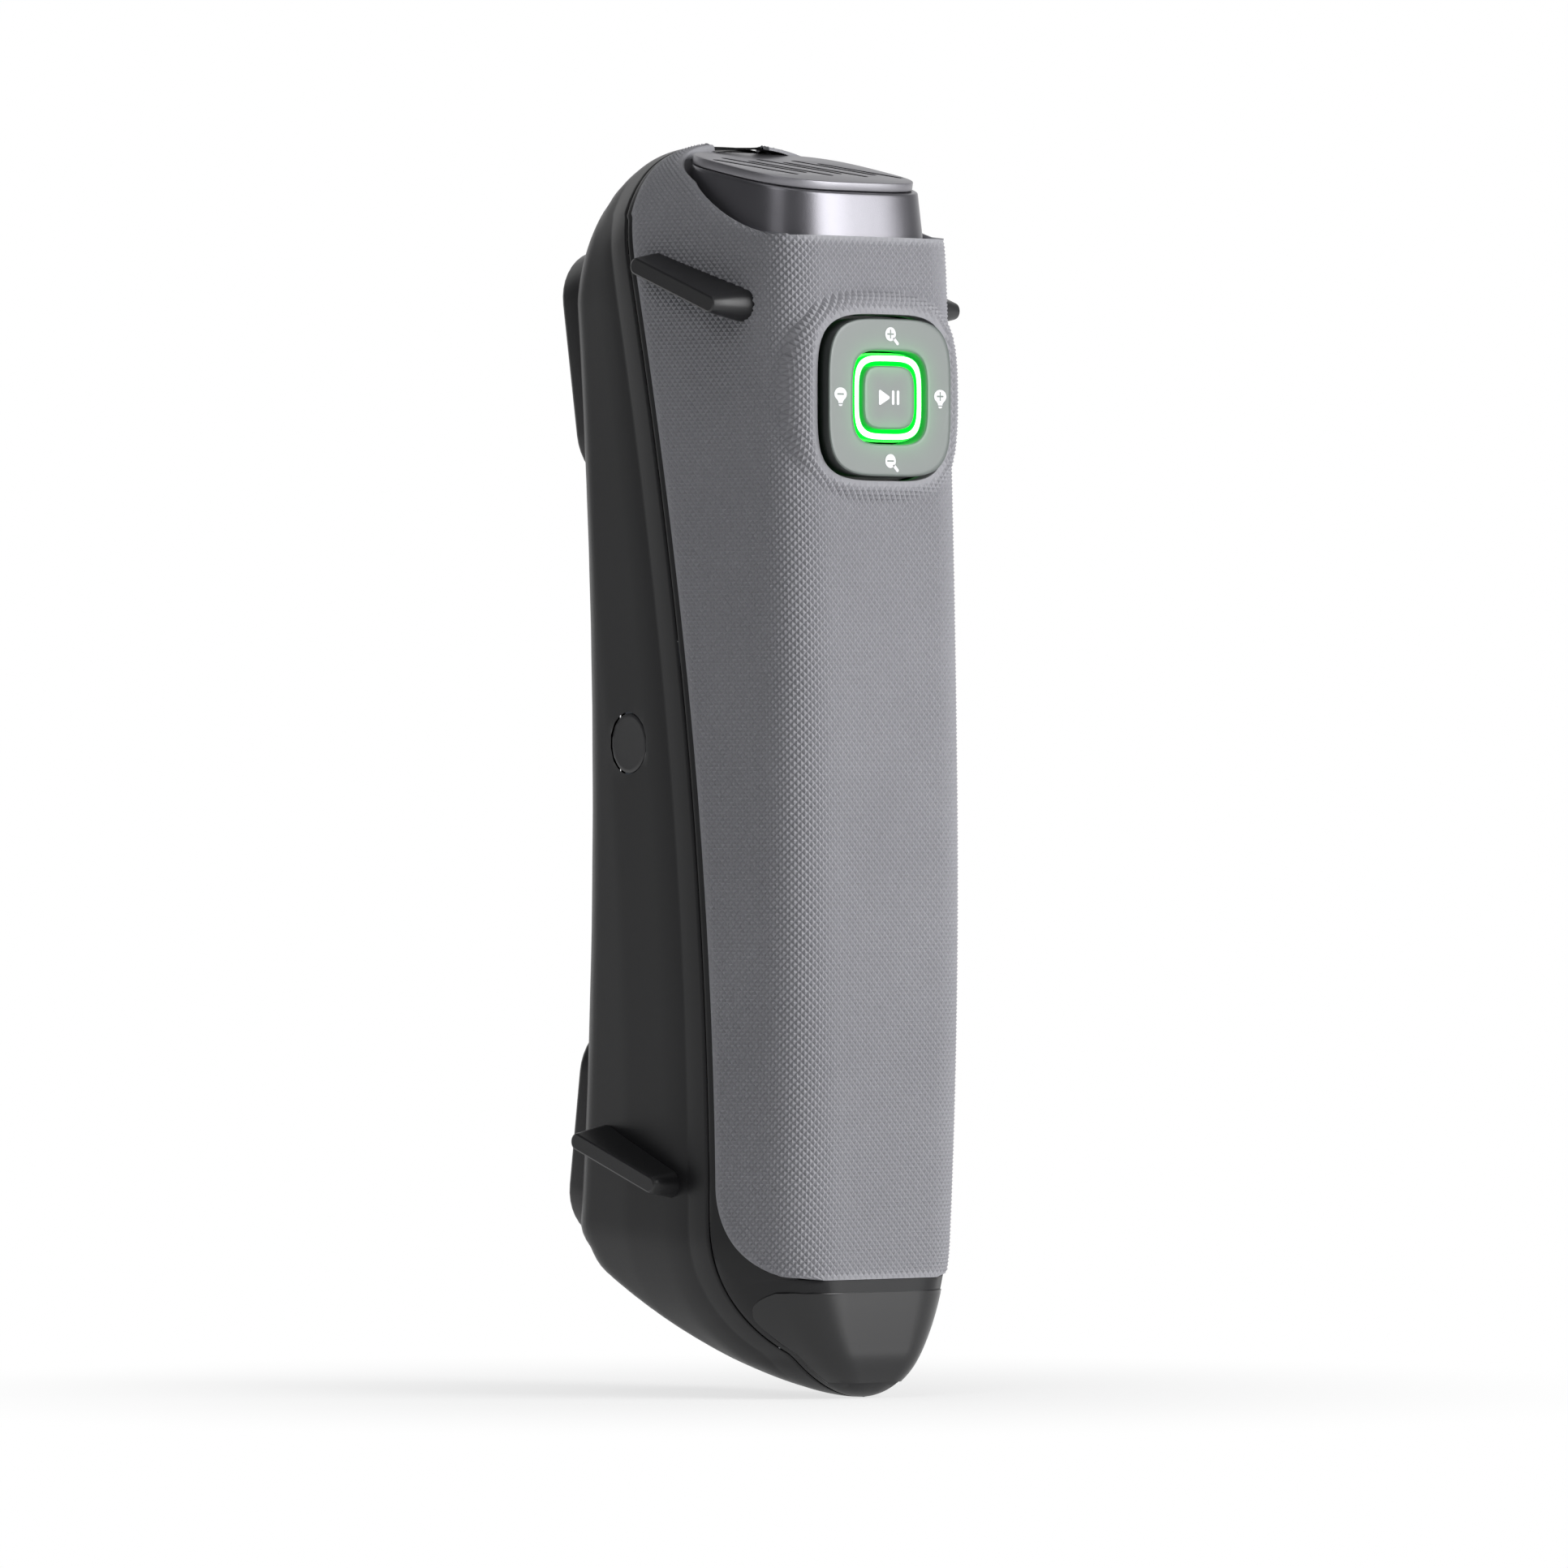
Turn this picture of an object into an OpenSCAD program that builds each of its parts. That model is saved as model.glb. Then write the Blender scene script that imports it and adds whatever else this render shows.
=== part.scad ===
/* [Body] */
// Overall height of the scanner
body_h = 270; // [225:1:330]
// Half width of the body at its widest line
body_half_w = 31.3; // [27:0.1:38]
// Distance from the middle plane to the front face at the waist
front_depth = 31.8; // [28:0.1:38]
// Distance from the middle plane to the back of the grip at the waist
back_depth = 37.4; // [34:0.1:44]
// Half width of the front face
front_half_w = 25.4; // [24.5:0.1:28]
// Half width of the back face
back_half_w = 23.6; // [21:0.1:28]
// How far the front face bows out at the head and the foot
front_bow = 4.6; // [2:0.1:6]
// Height of the rounding at the top and at the bottom
end_round = 34; // [28:1:42]
// Wall of the moulded shells
wall = 2.4; // [1.8:0.1:3.2]
// Thickness of the soft grip skin
skin_t = 1.6; // [1:0.1:2.4]
// How far the grip skin stands proud of the shells
skin_proud = 0.4; // [0.2:0.1:1]
// Width of the bare lip between the seam and the grip skin
lip_w = 2.3; // [1.5:0.1:4]
// Thickness of the rubber seal between the two shells
seal_t = 0.6; // [0.4:0.1:1]

/* [Camera pods] */
// Height of the upper pod centre below the top
upper_pod_drop = 48.5; // [44:0.5:60]
// Height of the lower pod centre above the bottom
lower_pod_rise = 57; // [50:0.5:70]
// Width of a pod
pod_w = 48; // [44:0.5:50]
// Height of the upper pod
upper_pod_h = 53; // [46:0.5:56]
// Height of the lower pod
lower_pod_h = 49; // [46:0.5:56]
// Corner radius of a pod
pod_r = 12; // [8:0.5:16]
// How far the middle of the upper pod face stands in front of the waist
upper_pod_out = 7.4; // [6:0.1:9]
// How far the middle of the lower pod face stands in front of the waist
lower_pod_out = 5.8; // [5:0.1:8]
// Toe-in of the upper pod, which looks down
upper_pod_tilt = 9.2; // [6:0.1:12]
// Toe-in of the lower pod, which looks up
lower_pod_tilt = 7.8; // [6:0.1:12]
// Radius of a lens barrel
lens_r = 8; // [6:0.1:10]

/* [Controls] */
// Drop from the top to the middle of the button pad
pad_drop = 55.6; // [52:0.1:70]
// Width of the rocker pad
pad_w = 35.4; // [33:0.1:38]
// Height of the rocker pad
pad_h = 34; // [31:0.1:38]
// Distance from the middle plane to the face of the pad
pad_face_y = 39.4; // [38.5:0.1:44]
// Width of the light ring
ring_w = 19.4; // [17:0.1:21]
// Height of the light ring
ring_h = 18.3; // [16:0.1:20]
// Tilt of the rocker either way
rocker_tilt = 2.5; // [1:0.5:3]
// Travel of the centre key
key_travel = 0.8; // [0.4:0.1:0.8]
// Gap round a moving key
key_gap = 0.9; // [0.7:0.1:1.2]

/* [Cap] */
// Half width of the vent plate
cap_a = 22; // [19:0.1:22.5]
// Half depth of the vent plate
cap_b = 19.3; // [17:0.1:20.5]
// Middle of the vent plate behind the middle plane
cap_y = 11.2; // [9:0.1:12.5]
// Drop from the top of the body to the middle of the vent plate
cap_drop = 5.4; // [4:0.1:8]
// Slope of the vent plate down towards the back
cap_tilt = 11.5; // [8:0.5:15]
// Number of vent slots
slot_count = 7; // [3:1:9]
// Gap between the cap and the grip round it
cap_gap = 0.9; // [0.6:0.1:1.2]

/* [Feet and plugs] */
// Distance from the middle plane to the outer face of the side feet
foot_out = 35.5; // [34.5:0.1:42]
// Length of a side foot
foot_len = 29; // [22:0.5:34]
// Half thickness of a side foot at its outer face
foot_r = 1.8; // [1.2:0.1:3]
// Slope of the side feet down towards the back
foot_slope = 20; // [10:1:30]
// Radius of the side plugs
plug_r = 6.5; // [5:0.1:8]
// Radius of the bore in the connector
socket_r = 5; // [4:0.1:6]

/* [Fan] */
// Side of the square fan
fan_w = 30; // [24:0.5:32]
// Thickness of the fan
fan_t = 7; // [5:0.5:7.5]
// Number of fan blades
blade_count = 7; // [5:1:9]

/* [Hidden] */
$fn = 48;
eps = 0.01;
far = 200;                       // reach of the cutting solids
fit = 0.1;                       // clearance between seated pieces
pin_fit = 0.05;                  // radial clearance of a pin
pin_r = 0.9;

foot_z = body_h / 6;             // stations where the long curves are given
waist_z = body_h * 0.48;
head_z = body_h - end_round;
ring_levels = 30;
corner_steps = 4;

upper_pod_z = body_h - upper_pod_drop;
lower_pod_z = lower_pod_rise;
pad_z = body_h - pad_drop;
plug_z = body_h * 0.52;
pod_floor = 3;                   // thickness of a pod's face
window_t = 1.5;

// A smooth curve through three values at the foot, the waist and the head
function bow(z, a, b, c) =
    a * (z - waist_z) * (z - head_z) / ((foot_z - waist_z) * (foot_z - head_z))
    + b * (z - foot_z) * (z - head_z) / ((waist_z - foot_z) * (waist_z - head_z))
    + c * (z - foot_z) * (z - waist_z) / ((head_z - foot_z) * (head_z - waist_z));

// Share of the full width that is left in the rounded ends
function end_share(z) =
    z < end_round ? sqrt(max(0, 1 - pow(1 - z / end_round, 2)))
    : z > head_z ? pow(max(0, 1 - pow((z - head_z) / end_round, 3)), 1 / 3)
    : 1;

belly_z = 31;                    // top of the sloping underside
belly_power = 0.72;              // how round the underside is
heel_z = 10;                     // top of the rounded heel
heel_y = 30;                     // lowest line of the heel, behind the middle plane
crown_drop = 20;                 // how far the front face falls back over the crown

function front_mid(z) = -bow(z, front_depth + 0.7 * front_bow, front_depth, front_depth + 1.1 * front_bow);

function front_y(z) =
    z < belly_z ? heel_y + (front_mid(belly_z) - heel_y) * pow(z / belly_z, belly_power)
    : z > head_z ? front_mid(head_z)
        + crown_drop * (1 - pow(max(0, 1 - pow((z - head_z) / end_round, 1.5)), 2 / 3))
    : front_mid(z);

function back_mid(z) = bow(z, back_depth - 0.3, back_depth, back_depth - 2.9);

function back_y(z) =
    z < heel_z ? heel_y + (back_mid(heel_z) - heel_y) * sqrt(max(0, 1 - pow(1 - z / heel_z, 2)))
    : back_mid(min(z, body_h - 10));

function wide_x(z) = body_half_w + bow(z, 0.1, 0, -0.5);
function rear_x(z) = back_half_w - (z < waist_z ? 4.5 * pow((waist_z - z) / waist_z, 2) : 0);

// The line of the seam seen from the side, from the top edge to the sole
seam_top_y = -15.5;
seam_line = [
    for (t = [0 : 0.1 : 1])
        let (z = body_h + 10 - (body_h - belly_z) * t)
        [seam_y_high(z), z],
    for (a = [10 : 10 : 60]) [14 + 24 * (1 - cos(a)), belly_z + 8 - 34 * sin(a)],
    [34, -10]
];
function seam_y_high(z) =
    let (t = min(1, (body_h - z) / (body_h - belly_z - 10)))
    z > body_h - 16 ? seam_top_y : seam_top_y + 29.5 * sin(90 * pow(max(0, (t - 0.06) / 0.94), 0.94));
function seam_y(z) = lookup(-z, [for (p = seam_line) [-p[1], p[0]]]);
function wide_y(z) = min(seam_y(max(z, belly_z)), 14);

// One corner of an outline, rounded by a curve of the given reach
function corner(a, v, b, reach) =
    let (ta = min(reach, norm(a - v) * 0.48), tb = min(reach, norm(b - v) * 0.48),
         p = v + (a - v) * ta / norm(a - v), q = v + (b - v) * tb / norm(b - v))
    [for (i = [0 : corner_steps])
        let (s = i / corner_steps)
        p * (1 - s) * (1 - s) + v * 2 * s * (1 - s) + q * s * s];

// One level ring of the body, set in by a distance all round
function body_ring(z, inset) =
    let (w = end_share(z), lift = inset + z * (body_h - 2 * inset) / body_h,
         yf = front_y(z) + inset, yb = max(back_y(z) - inset, yf + 1),
         xf = max(0.3, front_half_w * w - inset), xm = max(0.5, wide_x(z) * w - inset),
         xb = max(0.3, rear_x(z) * w - inset),
         ym = min(max(wide_y(z), yf + 0.3 * (yb - yf)), yb - 0.3 * (yb - yf)),
         half = concat(corner([0, yf], [xf, yf], [xm, ym], 5 * w + 0.5),
                       corner([xf, yf], [xm, ym], [xb, yb], 14 * w + 0.5),
                       corner([xm, ym], [xb, yb], [0, yb], 8.5 * w + 0.5)),
         last = len(half) - 1)
    concat([for (p = half) [p[0], p[1], lift]],
           [for (i = [last : -1 : 0]) [-half[i][0], half[i][1], lift]]);

module loft(rings) {
    n = len(rings[0]);
    m = len(rings);
    polyhedron(
        points = [for (r = rings) each r],
        faces = [
            [for (i = [0 : n - 1]) i],
            [for (i = [n - 1 : -1 : 0]) (m - 1) * n + i],
            for (j = [0 : m - 2], i = [0 : n - 1])
                [j * n + i, (j + 1) * n + i, (j + 1) * n + (i + 1) % n],
            for (j = [0 : m - 2], i = [0 : n - 1])
                [j * n + i, (j + 1) * n + (i + 1) % n, j * n + (i + 1) % n]
        ]);
}

module body_form(inset) {
    loft([for (i = [0 : ring_levels])
        body_ring(body_h * (1 - cos(180 * i / ring_levels)) / 2, inset)]);
}

// Extrudes an outline of the side view right across the body
module across(outline, half = far / 2) {
    rotate([90, 0, 90]) translate([0, 0, -half]) linear_extrude(2 * half) polygon(outline);
}

// Everything behind the seam, moved back by a distance
module behind_seam(shift) {
    across(concat([for (p = seam_line) [p[0] + shift, p[1]]], [[far, -10], [far, body_h + 10]]));
}

// Everything ahead of the seam, moved back by a distance
module ahead_of_seam(shift) {
    across(concat([for (p = seam_line) [p[0] + shift, p[1]]], [[-far, -10], [-far, body_h + 10]]));
}

// The concave edge at the top of the grip, where the cap stands
rim_z = body_h - 21;
rim_rise = 17;
rim_back = 31.5;
rim_reach = 34.2;
module above_rim(lift) {
    across(concat(
        [for (y = [-12 : 3 : rim_back])
            [y, rim_z + lift + rim_rise * pow((rim_back - y) / rim_reach, 1.8)]],
        [[rim_back + 1, rim_z + lift], [far, rim_z + lift], [far, far * 2], [-12, far * 2]]));
}

grip_bottom = 25.5;
grip_corner = 20;
// The side view of the grip skin: behind the lip, above the heel, corner rounded
function grip_edge(extra) = [
    for (z = [body_h + 10 : -12 : grip_bottom + grip_corner + 6])
        [seam_y(z) + lip_w + extra, z],
    for (a = [0 : 15 : 90])
        [seam_y(grip_bottom + grip_corner) + lip_w + extra + grip_corner * (1 - cos(a)),
         grip_bottom + extra + grip_corner * (1 - sin(a))],
    [far, grip_bottom + extra],
    [far, body_h + 10]
];

// Rounded-square outline, like the face of the pad
function squircle(a, b, n = 4, steps = 40) = [
    for (i = [0 : steps - 1])
        let (t = 360 * i / steps, c = cos(t), s = sin(t))
        [a * sign(c) * pow(abs(c), 2 / n), b * sign(s) * pow(abs(s), 2 / n)]
];

// Places an outline in the plane of the pad, drawn towards the back
module at_pad(y) {
    translate([0, y, pad_z]) rotate([-90, 0, 0]) mirror([0, 1, 0]) children();
}

// One ring of the mound round the pad
function mound_ring(grow, y) =
    [for (p = squircle(well_a + grow, well_b + grow)) [p[0], y, pad_z - p[1]]];

// A tube or a plate of squircle outline from one depth to another
module pad_block(a, b, y0, y1) {
    at_pad(y0) linear_extrude(y1 - y0) polygon(squircle(a, b));
}

module box_at(x0, x1, y0, y1, z0, z1) {
    translate([x0, y0, z0]) cube([x1 - x0, y1 - y0, z1 - z0]);
}

module rounded_plate(w, h, r, t) {
    linear_extrude(t) {
        square([w - 2 * r, h], center = true);
        square([w, h - 2 * r], center = true);
        for (x = [-1, 1], y = [-1, 1])
            translate([x * (w / 2 - r), y * (h / 2 - r)]) circle(r);
    }
}

// A plate of the pod's outline, less a margin all round
module pod_plate(top, margin, t) {
    rounded_plate(pod_w - 2 * margin, (top ? upper_pod_h : lower_pod_h) - 2 * margin, pod_r - margin, t);
}

// Local frame of a pod: z points out of the face, y up
module at_pod(top) {
    translate([0, -front_depth - (top ? upper_pod_out : lower_pod_out), top ? upper_pod_z : lower_pod_z])
        rotate([90 + (top ? upper_pod_tilt : -lower_pod_tilt), 0, 0]) children();
}

module rod_y(x, z, r, y0, y1) {
    translate([x, y1, z]) rotate([90, 0, 0]) cylinder(r = r, h = y1 - y0);
}

/* ---- places that several pieces share ---- */
bench_front = -7;
bench_back = -2;
bench_half_w = 17;
bench_low = lower_pod_z - 20;
bench_high = upper_pod_z + 11;
bench_bolt_x = 12;
bench_bolts = [waist_z - 42, waist_z + 44];

board_y = 6;                     // front of the main board
board_t = 1.6;
board_half_w = 17.6;
board_low = 66;
board_high = pad_z - 28;
post_x = board_half_w - 3;

well_wall = 1.4;
well_a = pad_w / 2 + key_gap;
well_b = pad_h / 2 + key_gap;
key_board_y = pad_face_y - 18;
mat_y = key_board_y + board_t;
mat_t = 0.8;
tray_y = mat_y + mat_t;
pivot_y = tray_y + 4.6;
tray_top = tray_y + 7.1;
tray_a = well_a - fit - pin_fit;
tray_b = well_b - fit - pin_fit;
tray_wall = 1.7;
gimbal_gap = 0.4;
gimbal_wall = 2.2;
gimbal_a = tray_a - tray_wall - gimbal_gap;
gimbal_b = tray_b - tray_wall - gimbal_gap;
skirt_a = gimbal_a - gimbal_wall - gimbal_gap;
skirt_b = gimbal_b - gimbal_wall - gimbal_gap;
ring_wall = 1.5;
hole_a = ring_w / 2 + key_gap;
hole_b = ring_h / 2 + key_gap;
key_a = ring_w / 2 - ring_wall - key_gap + 0.1;
key_b = ring_h / 2 - ring_wall - key_gap + 0.1;
skirt_y = pivot_y - 1.4;
pad_back_y = pad_face_y - 5.5;
corner_x = well_a - 0.5;
corner_z = well_b - 0.6;
dome_x = (hole_a + skirt_a) / 2;
dome_z = (hole_b + skirt_b) / 2;
dome_drop = skirt_a * sin(rocker_tilt) + 0.3;  // room for the skirt to dip
dome_r = min(1.7, dome_x - ring_w / 2 - 0.3, dome_z - ring_h / 2 - 0.3);

case_boss_r = 3.4;
case_boss_l = 8;
case_head_r = 2;
case_head_t = 1.8;
// Inner side of the flank at a depth, behind the grip skin
function flank_inner(y, z) =
    wide_x(z) - (wide_x(z) - rear_x(z)) * (y - wide_y(z)) / (back_mid(z) - wide_y(z)) - wall - skin_t;
// Screws stand as far out as their heads fit inside the flank
function case_x(z) = min(body_half_w - 10.5,
    flank_inner(seam_y(z) + case_boss_l + case_head_t, z) - case_head_r - 1);
case_z = [foot_z + 24, waist_z + 4, pad_z - 32];

window_w = 30;
window_h = 66;
laser_rise = 18;
laser_r = 6;
block_y = bench_front - 12;

cap_power = 3.4;
ledge_z = body_h - 27;
duct_t = 2;
duct_z = ledge_z - duct_t;
fan_y = 9;
fan_z = duct_z - fan_t;

socket_y = -6;
socket_z = belly_z * pow((heel_y - socket_y) / (heel_y - front_mid(belly_z)), 1 / belly_power);
belly_slope = atan(1 / ((heel_y - front_mid(belly_z)) * belly_power / belly_z
                        * pow(socket_z / belly_z, belly_power - 1)));

module cap_outline(grow) {
    translate([0, cap_y]) polygon(squircle(cap_a + grow, cap_b + grow, cap_power, 48));
}

plug_y = -14.5;
plug_x = front_half_w + (plug_y + front_depth) * (body_half_w - front_half_w) / (front_depth + 3.5);
plug_angle = atan((body_half_w - front_half_w) / (front_depth + 3.5));
// Local frame on the flank: z points out of the side
module at_plug(side) {
    mirror([side < 0 ? 1 : 0, 0, 0])
        translate([plug_x, plug_y, plug_z]) rotate([0, 90, -plug_angle]) children();
}

// Local frame of the connector: z points out of the sloping underside
module at_socket() {
    translate([0, socket_y, socket_z]) rotate([180 - belly_slope, 0, 0]) children();
}

socket_flange_r = 8.6;
socket_flange_t = 1.4;
socket_body_r = 7.2;
socket_body_l = 13;
socket_depth = 9;

/* ---- the origin lies under the middle of the bounding box ---- */
pod_reach = front_depth + upper_pod_out + upper_pod_h / 2 * sin(upper_pod_tilt);
module placed() {
    translate([0, (pod_reach - pad_face_y) / 2, 0]) children();
}

// A screw boss near the seam, with the web that ties it to the flank
module case_boss(side, z, y0, y1) {
    rod_y(side * case_x(z), z, case_boss_r, y0, y1);
    mirror([side < 0 ? 1 : 0, 0, 0]) box_at(case_x(z) + 1.8, body_half_w, y0 + 0.4, y1 - 0.4, z - 1.6, z + 1.6);
}

/* ---- shells ---- */
module front_shell() {
    color("#2b2b2d") difference() {
        union() {
            intersection() {
                difference() {
                    body_form(0);
                    body_form(wall);
                    for (top = [true, false]) at_pod(top)
                        translate([0, 0, -30]) pod_plate(top, 2.4, 30 - pod_floor + 0.05);
                }
                ahead_of_seam(-seal_t / 2 - 0.02);
            }
            intersection() {
                body_form(1);
                union() {
                    box_at(-window_w / 2 - 5, window_w / 2 + 5, -far / 4, wall + 2.6 - front_depth,
                           waist_z - window_h / 2 - 5, waist_z + window_h / 2 + 5);
                    for (side = [-1, 1]) at_plug(side) translate([0, 0, -9]) cylinder(r = plug_r + 2, h = 9);
                    at_socket() translate([0, 0, -7]) cylinder(r = socket_flange_r + 2, h = 8);
                    for (z = case_z, side = [-1, 1])
                        case_boss(side, z, seam_y(z) - case_boss_l - 1, seam_y(z) - 1);
                    for (z = bench_bolts, side = [-1, 1])
                        rod_y(side * bench_bolt_x, z, 3.4, -front_depth - 3, bench_front);
                }
            }
            for (top = [true, false]) at_pod(top) difference() {
                translate([0, 0, -9]) pod_plate(top, 0, 9);
                translate([0, 0, -10]) pod_plate(top, 2.5, 10 - pod_floor);
            }
            for (top = [true, false], x = [-1, 1], y = [-1, 1]) at_pod(top)
                translate([x * (pod_w / 2 - 7), y * ((top ? upper_pod_h : lower_pod_h) / 2 - 6), -5])
                    cylinder(r = 1.8, h = 5 - pod_floor + 0.5);
        }
        for (top = [true, false]) at_pod(top) {
            translate([0, 0, -window_t - 0.2]) pod_plate(top, 4, 5);
            translate([0, 0, -pod_floor - 1]) pod_plate(top, 7, 5);
        }
        translate([0, -front_depth + 1.6, waist_z]) rotate([90, 0, 0])
            rounded_plate(window_w + 2 * fit, window_h + 2 * fit, 5, 10);
        translate([0, -front_depth + 9, waist_z]) rotate([90, 0, 0])
            rounded_plate(window_w - 5, window_h - 5, 3, 10);
        for (side = [-1, 1]) at_plug(side) {
            translate([0, 0, -2.1]) cylinder(r = plug_r + fit, h = 8);
            translate([0, 0, -8.2]) cylinder(r = 3.5 + pin_fit, h = 10);
        }
        at_socket() {
            translate([0, 0, -socket_flange_t]) cylinder(r = socket_flange_r + fit, h = 12);
            translate([0, 0, -20]) cylinder(r = socket_body_r + fit, h = 22);
        }
        for (z = case_z, side = [-1, 1])
            rod_y(side * case_x(z), z, 1.25 + pin_fit, seam_y(z) - 8, seam_y(z) + 5);
        for (z = bench_bolts, side = [-1, 1])
            rod_y(side * bench_bolt_x, z, 1.25 + pin_fit, bench_front - 9, bench_front + 1);
    }
}

module back_shell() {
    color("#2b2b2d") difference() {
        union() {
            intersection() {
                difference() {
                    body_form(0);
                    body_form(wall + skin_t);
                    difference() {
                        across(grip_edge(-fit));
                        body_form(skin_t);
                    }
                }
                behind_seam(seal_t / 2 + 0.02);
            }
            intersection() {
                body_form(skin_t + 0.5);
                union() {
                    translate([0, 0, ledge_z]) linear_extrude(2) difference() {
                        cap_outline(8);
                        cap_outline(-4);
                    }
                    difference() {
                        pad_block(well_a + well_wall, well_b + well_wall, mat_y, pad_face_y - 4);
                        pad_block(well_a, well_b, mat_y - 1, pad_face_y);
                    }
                    for (x = [-1, 1], z = [-1, 1])
                        rod_y(x * corner_x, pad_z + z * corner_z, 2, mat_y, pad_face_y);
                    for (z = case_z, side = [-1, 1])
                        case_boss(side, z, seam_y(z) + 1, seam_y(z) + case_boss_l);
                }
            }
        }
        above_rim(-1.5);
        cap_hole(cap_gap + 0.6);
        pad_block(well_a, well_b, tray_y, far);
        for (x = [-1, 1], z = [-1, 1])
            rod_y(x * corner_x, pad_z + z * corner_z, 0.9 + pin_fit, mat_y - 1, mat_y + 6);
        for (z = case_z, side = [-1, 1])
            rod_y(side * case_x(z), z, 1.5, seam_y(z) - 5, seam_y(z) + case_boss_l + 1);
        label_zone(-fit, 0.9);
    }
}

module shell_seal() {
    color("#141414") intersection() {
        difference() {
            body_form(0.5);
            body_form(wall - 0.3);
        }
        behind_seam(-seal_t / 2);
        ahead_of_seam(seal_t / 2);
    }
}

// The bare plate's place on the heel, from the surface down to a depth
module label_zone(shrink, depth) {
    difference() {
        across([[25 + shrink, 3.5 + shrink], [far, 3.5 + shrink], [far, 22.5 - shrink],
                [28 + shrink, 22.5 - shrink], [24 + shrink, 20 - shrink], [22 + shrink, 16], [22 + shrink, 10]]);
        body_form(depth);
        ahead_of_seam(lip_w + shrink);
    }
}

module label_plate() {
    color("#1f1f21") intersection() {
        label_zone(0, 0.8);
        body_form(0);
    }
}

module grip_skin() {
    color("#88888e") difference() {
        union() {
            intersection() {
                difference() {
                    body_form(-skin_proud);
                    body_form(skin_t);
                }
                across(grip_edge(0));
            }
            difference() {
                loft([mound_ring(5.5, pad_face_y - 7), mound_ring(4.4, pad_face_y - 4),
                      mound_ring(2.6, pad_face_y - 2.2), mound_ring(1.2, pad_face_y - 1.5)]);
                body_form(skin_t);
            }
        }
        above_rim(0);
        cap_hole(cap_gap);
        pad_block(well_a, well_b, tray_y, far);
        for (side = [-1, 1]) side_foot_solid(side, true, fit);
    }
}

/* ---- cap ---- */
module cap_slope(lift) {
    translate([0, cap_y, body_h - cap_drop + lift]) rotate([-cap_tilt, 0, 0])
        translate([-far / 2, -far / 2, 0]) cube([far, far, far]);
}

collar_steps = 6;
collar_inset = 0.6;
function collar_ring(i, inset) =
    let (t = i / collar_steps, grow = 2.6 * (1 - t) - inset, z = ledge_z + 2 + (body_h - ledge_z) * t)
    [for (p = squircle(cap_a + grow, cap_b + grow, cap_power, 48)) [p[0], p[1] + cap_y, z]];

module cap_hole(gap) {
    loft([for (i = [0 : collar_steps]) collar_ring(i, collar_inset - gap)]);
}

module cap_collar() {
    color("#6f6e72") difference() {
        loft([for (i = [0 : collar_steps]) collar_ring(i, collar_inset)]);
        translate([0, 0, -1]) loft([for (i = [0 : collar_steps]) collar_ring(i, collar_inset + 1.8)]);
        translate([0, 0, 1]) loft([for (i = [0 : collar_steps]) collar_ring(i, collar_inset + 1.8)]);
        cap_slope(-2.62);
    }
}

module vent_plate() {
    color("#77767a") difference() {
        translate([0, cap_y, body_h - cap_drop - 2]) rotate([-cap_tilt, 0, 0]) union() {
            linear_extrude(2) polygon(squircle(cap_a, cap_b, cap_power, 48));
            translate([0, 0, -0.6]) linear_extrude(0.7) polygon(squircle(cap_a - 0.9, cap_b - 0.9, cap_power, 48));
        }
        translate([0, cap_y, body_h - cap_drop]) rotate([-cap_tilt, 0, 0])
            for (i = [0 : slot_count - 1])
                translate([(i - (slot_count - 1) / 2) * 5, (i % 2 == 0 ? 1.5 : -1.5), -5]) rotate(28)
                    linear_extrude(10) {
                        square([2, 18], center = true);
                        for (s = [-1, 1]) translate([0, 9 * s]) circle(1);
                    }
    }
}

/* ---- side feet ---- */
module side_foot_solid(side, top, grow) {
    base_r = foot_r + 2.6 + grow;
    face_r = foot_r + grow;
    z = top ? body_h - 31.5 : 50;
    y = top ? 8.7 : -10.9;
    rise = foot_out - body_half_w + 9;
    half = foot_len / 2 - foot_r;
    mirror([side < 0 ? 1 : 0, 0, 0])
        translate([foot_out - rise - grow, y, z]) rotate([-foot_slope, 0, 0]) {
            for (s = [-1, 1]) translate([0, s * half, 0]) rotate([0, 90, 0])
                cylinder(r1 = base_r, r2 = face_r, h = rise + 2 * grow);
            rotate([90, 0, 0]) translate([0, 0, -half]) linear_extrude(2 * half)
                polygon([[0, -base_r], [rise + 2 * grow, -face_r], [rise + 2 * grow, face_r], [0, base_r]]);
        }
}

module side_foot(side, top) {
    color("#232324") difference() {
        side_foot_solid(side, top, 0);
        body_form(top ? skin_t - fit : 0);
    }
}

module side_plug(side) {
    color("#303032") at_plug(side) translate([0, 0, -2]) cylinder(r = plug_r, h = 1.9);
}

module side_inserts() {
    color("#b08d3c") for (side = [-1, 1]) at_plug(side) translate([0, 0, -8.1]) difference() {
        cylinder(r = 3.5, h = 5.8);
        translate([0, 0, -1]) cylinder(r = 2.1, h = 9);
    }
}

/* ---- optics ---- */
module pod_window(top) {
    color("#101418") at_pod(top) translate([0, 0, -window_t - 0.2]) pod_plate(top, 4 + fit, window_t);
}

led_count = 12;
module led_board(top) {
    color("#e9e9e2") at_pod(top) {
        difference() {
            translate([0, 0, -6.5]) pod_plate(top, 4, 1.5);
            translate([0, 0, -7]) cylinder(r = lens_r + 0.4, h = 3);
        }
        for (i = [0 : led_count - 1]) rotate(i * 360 / led_count)
            translate([lens_r + 5, 0, -5]) cylinder(r = 1.4, h = 1.2);
    }
}

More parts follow.
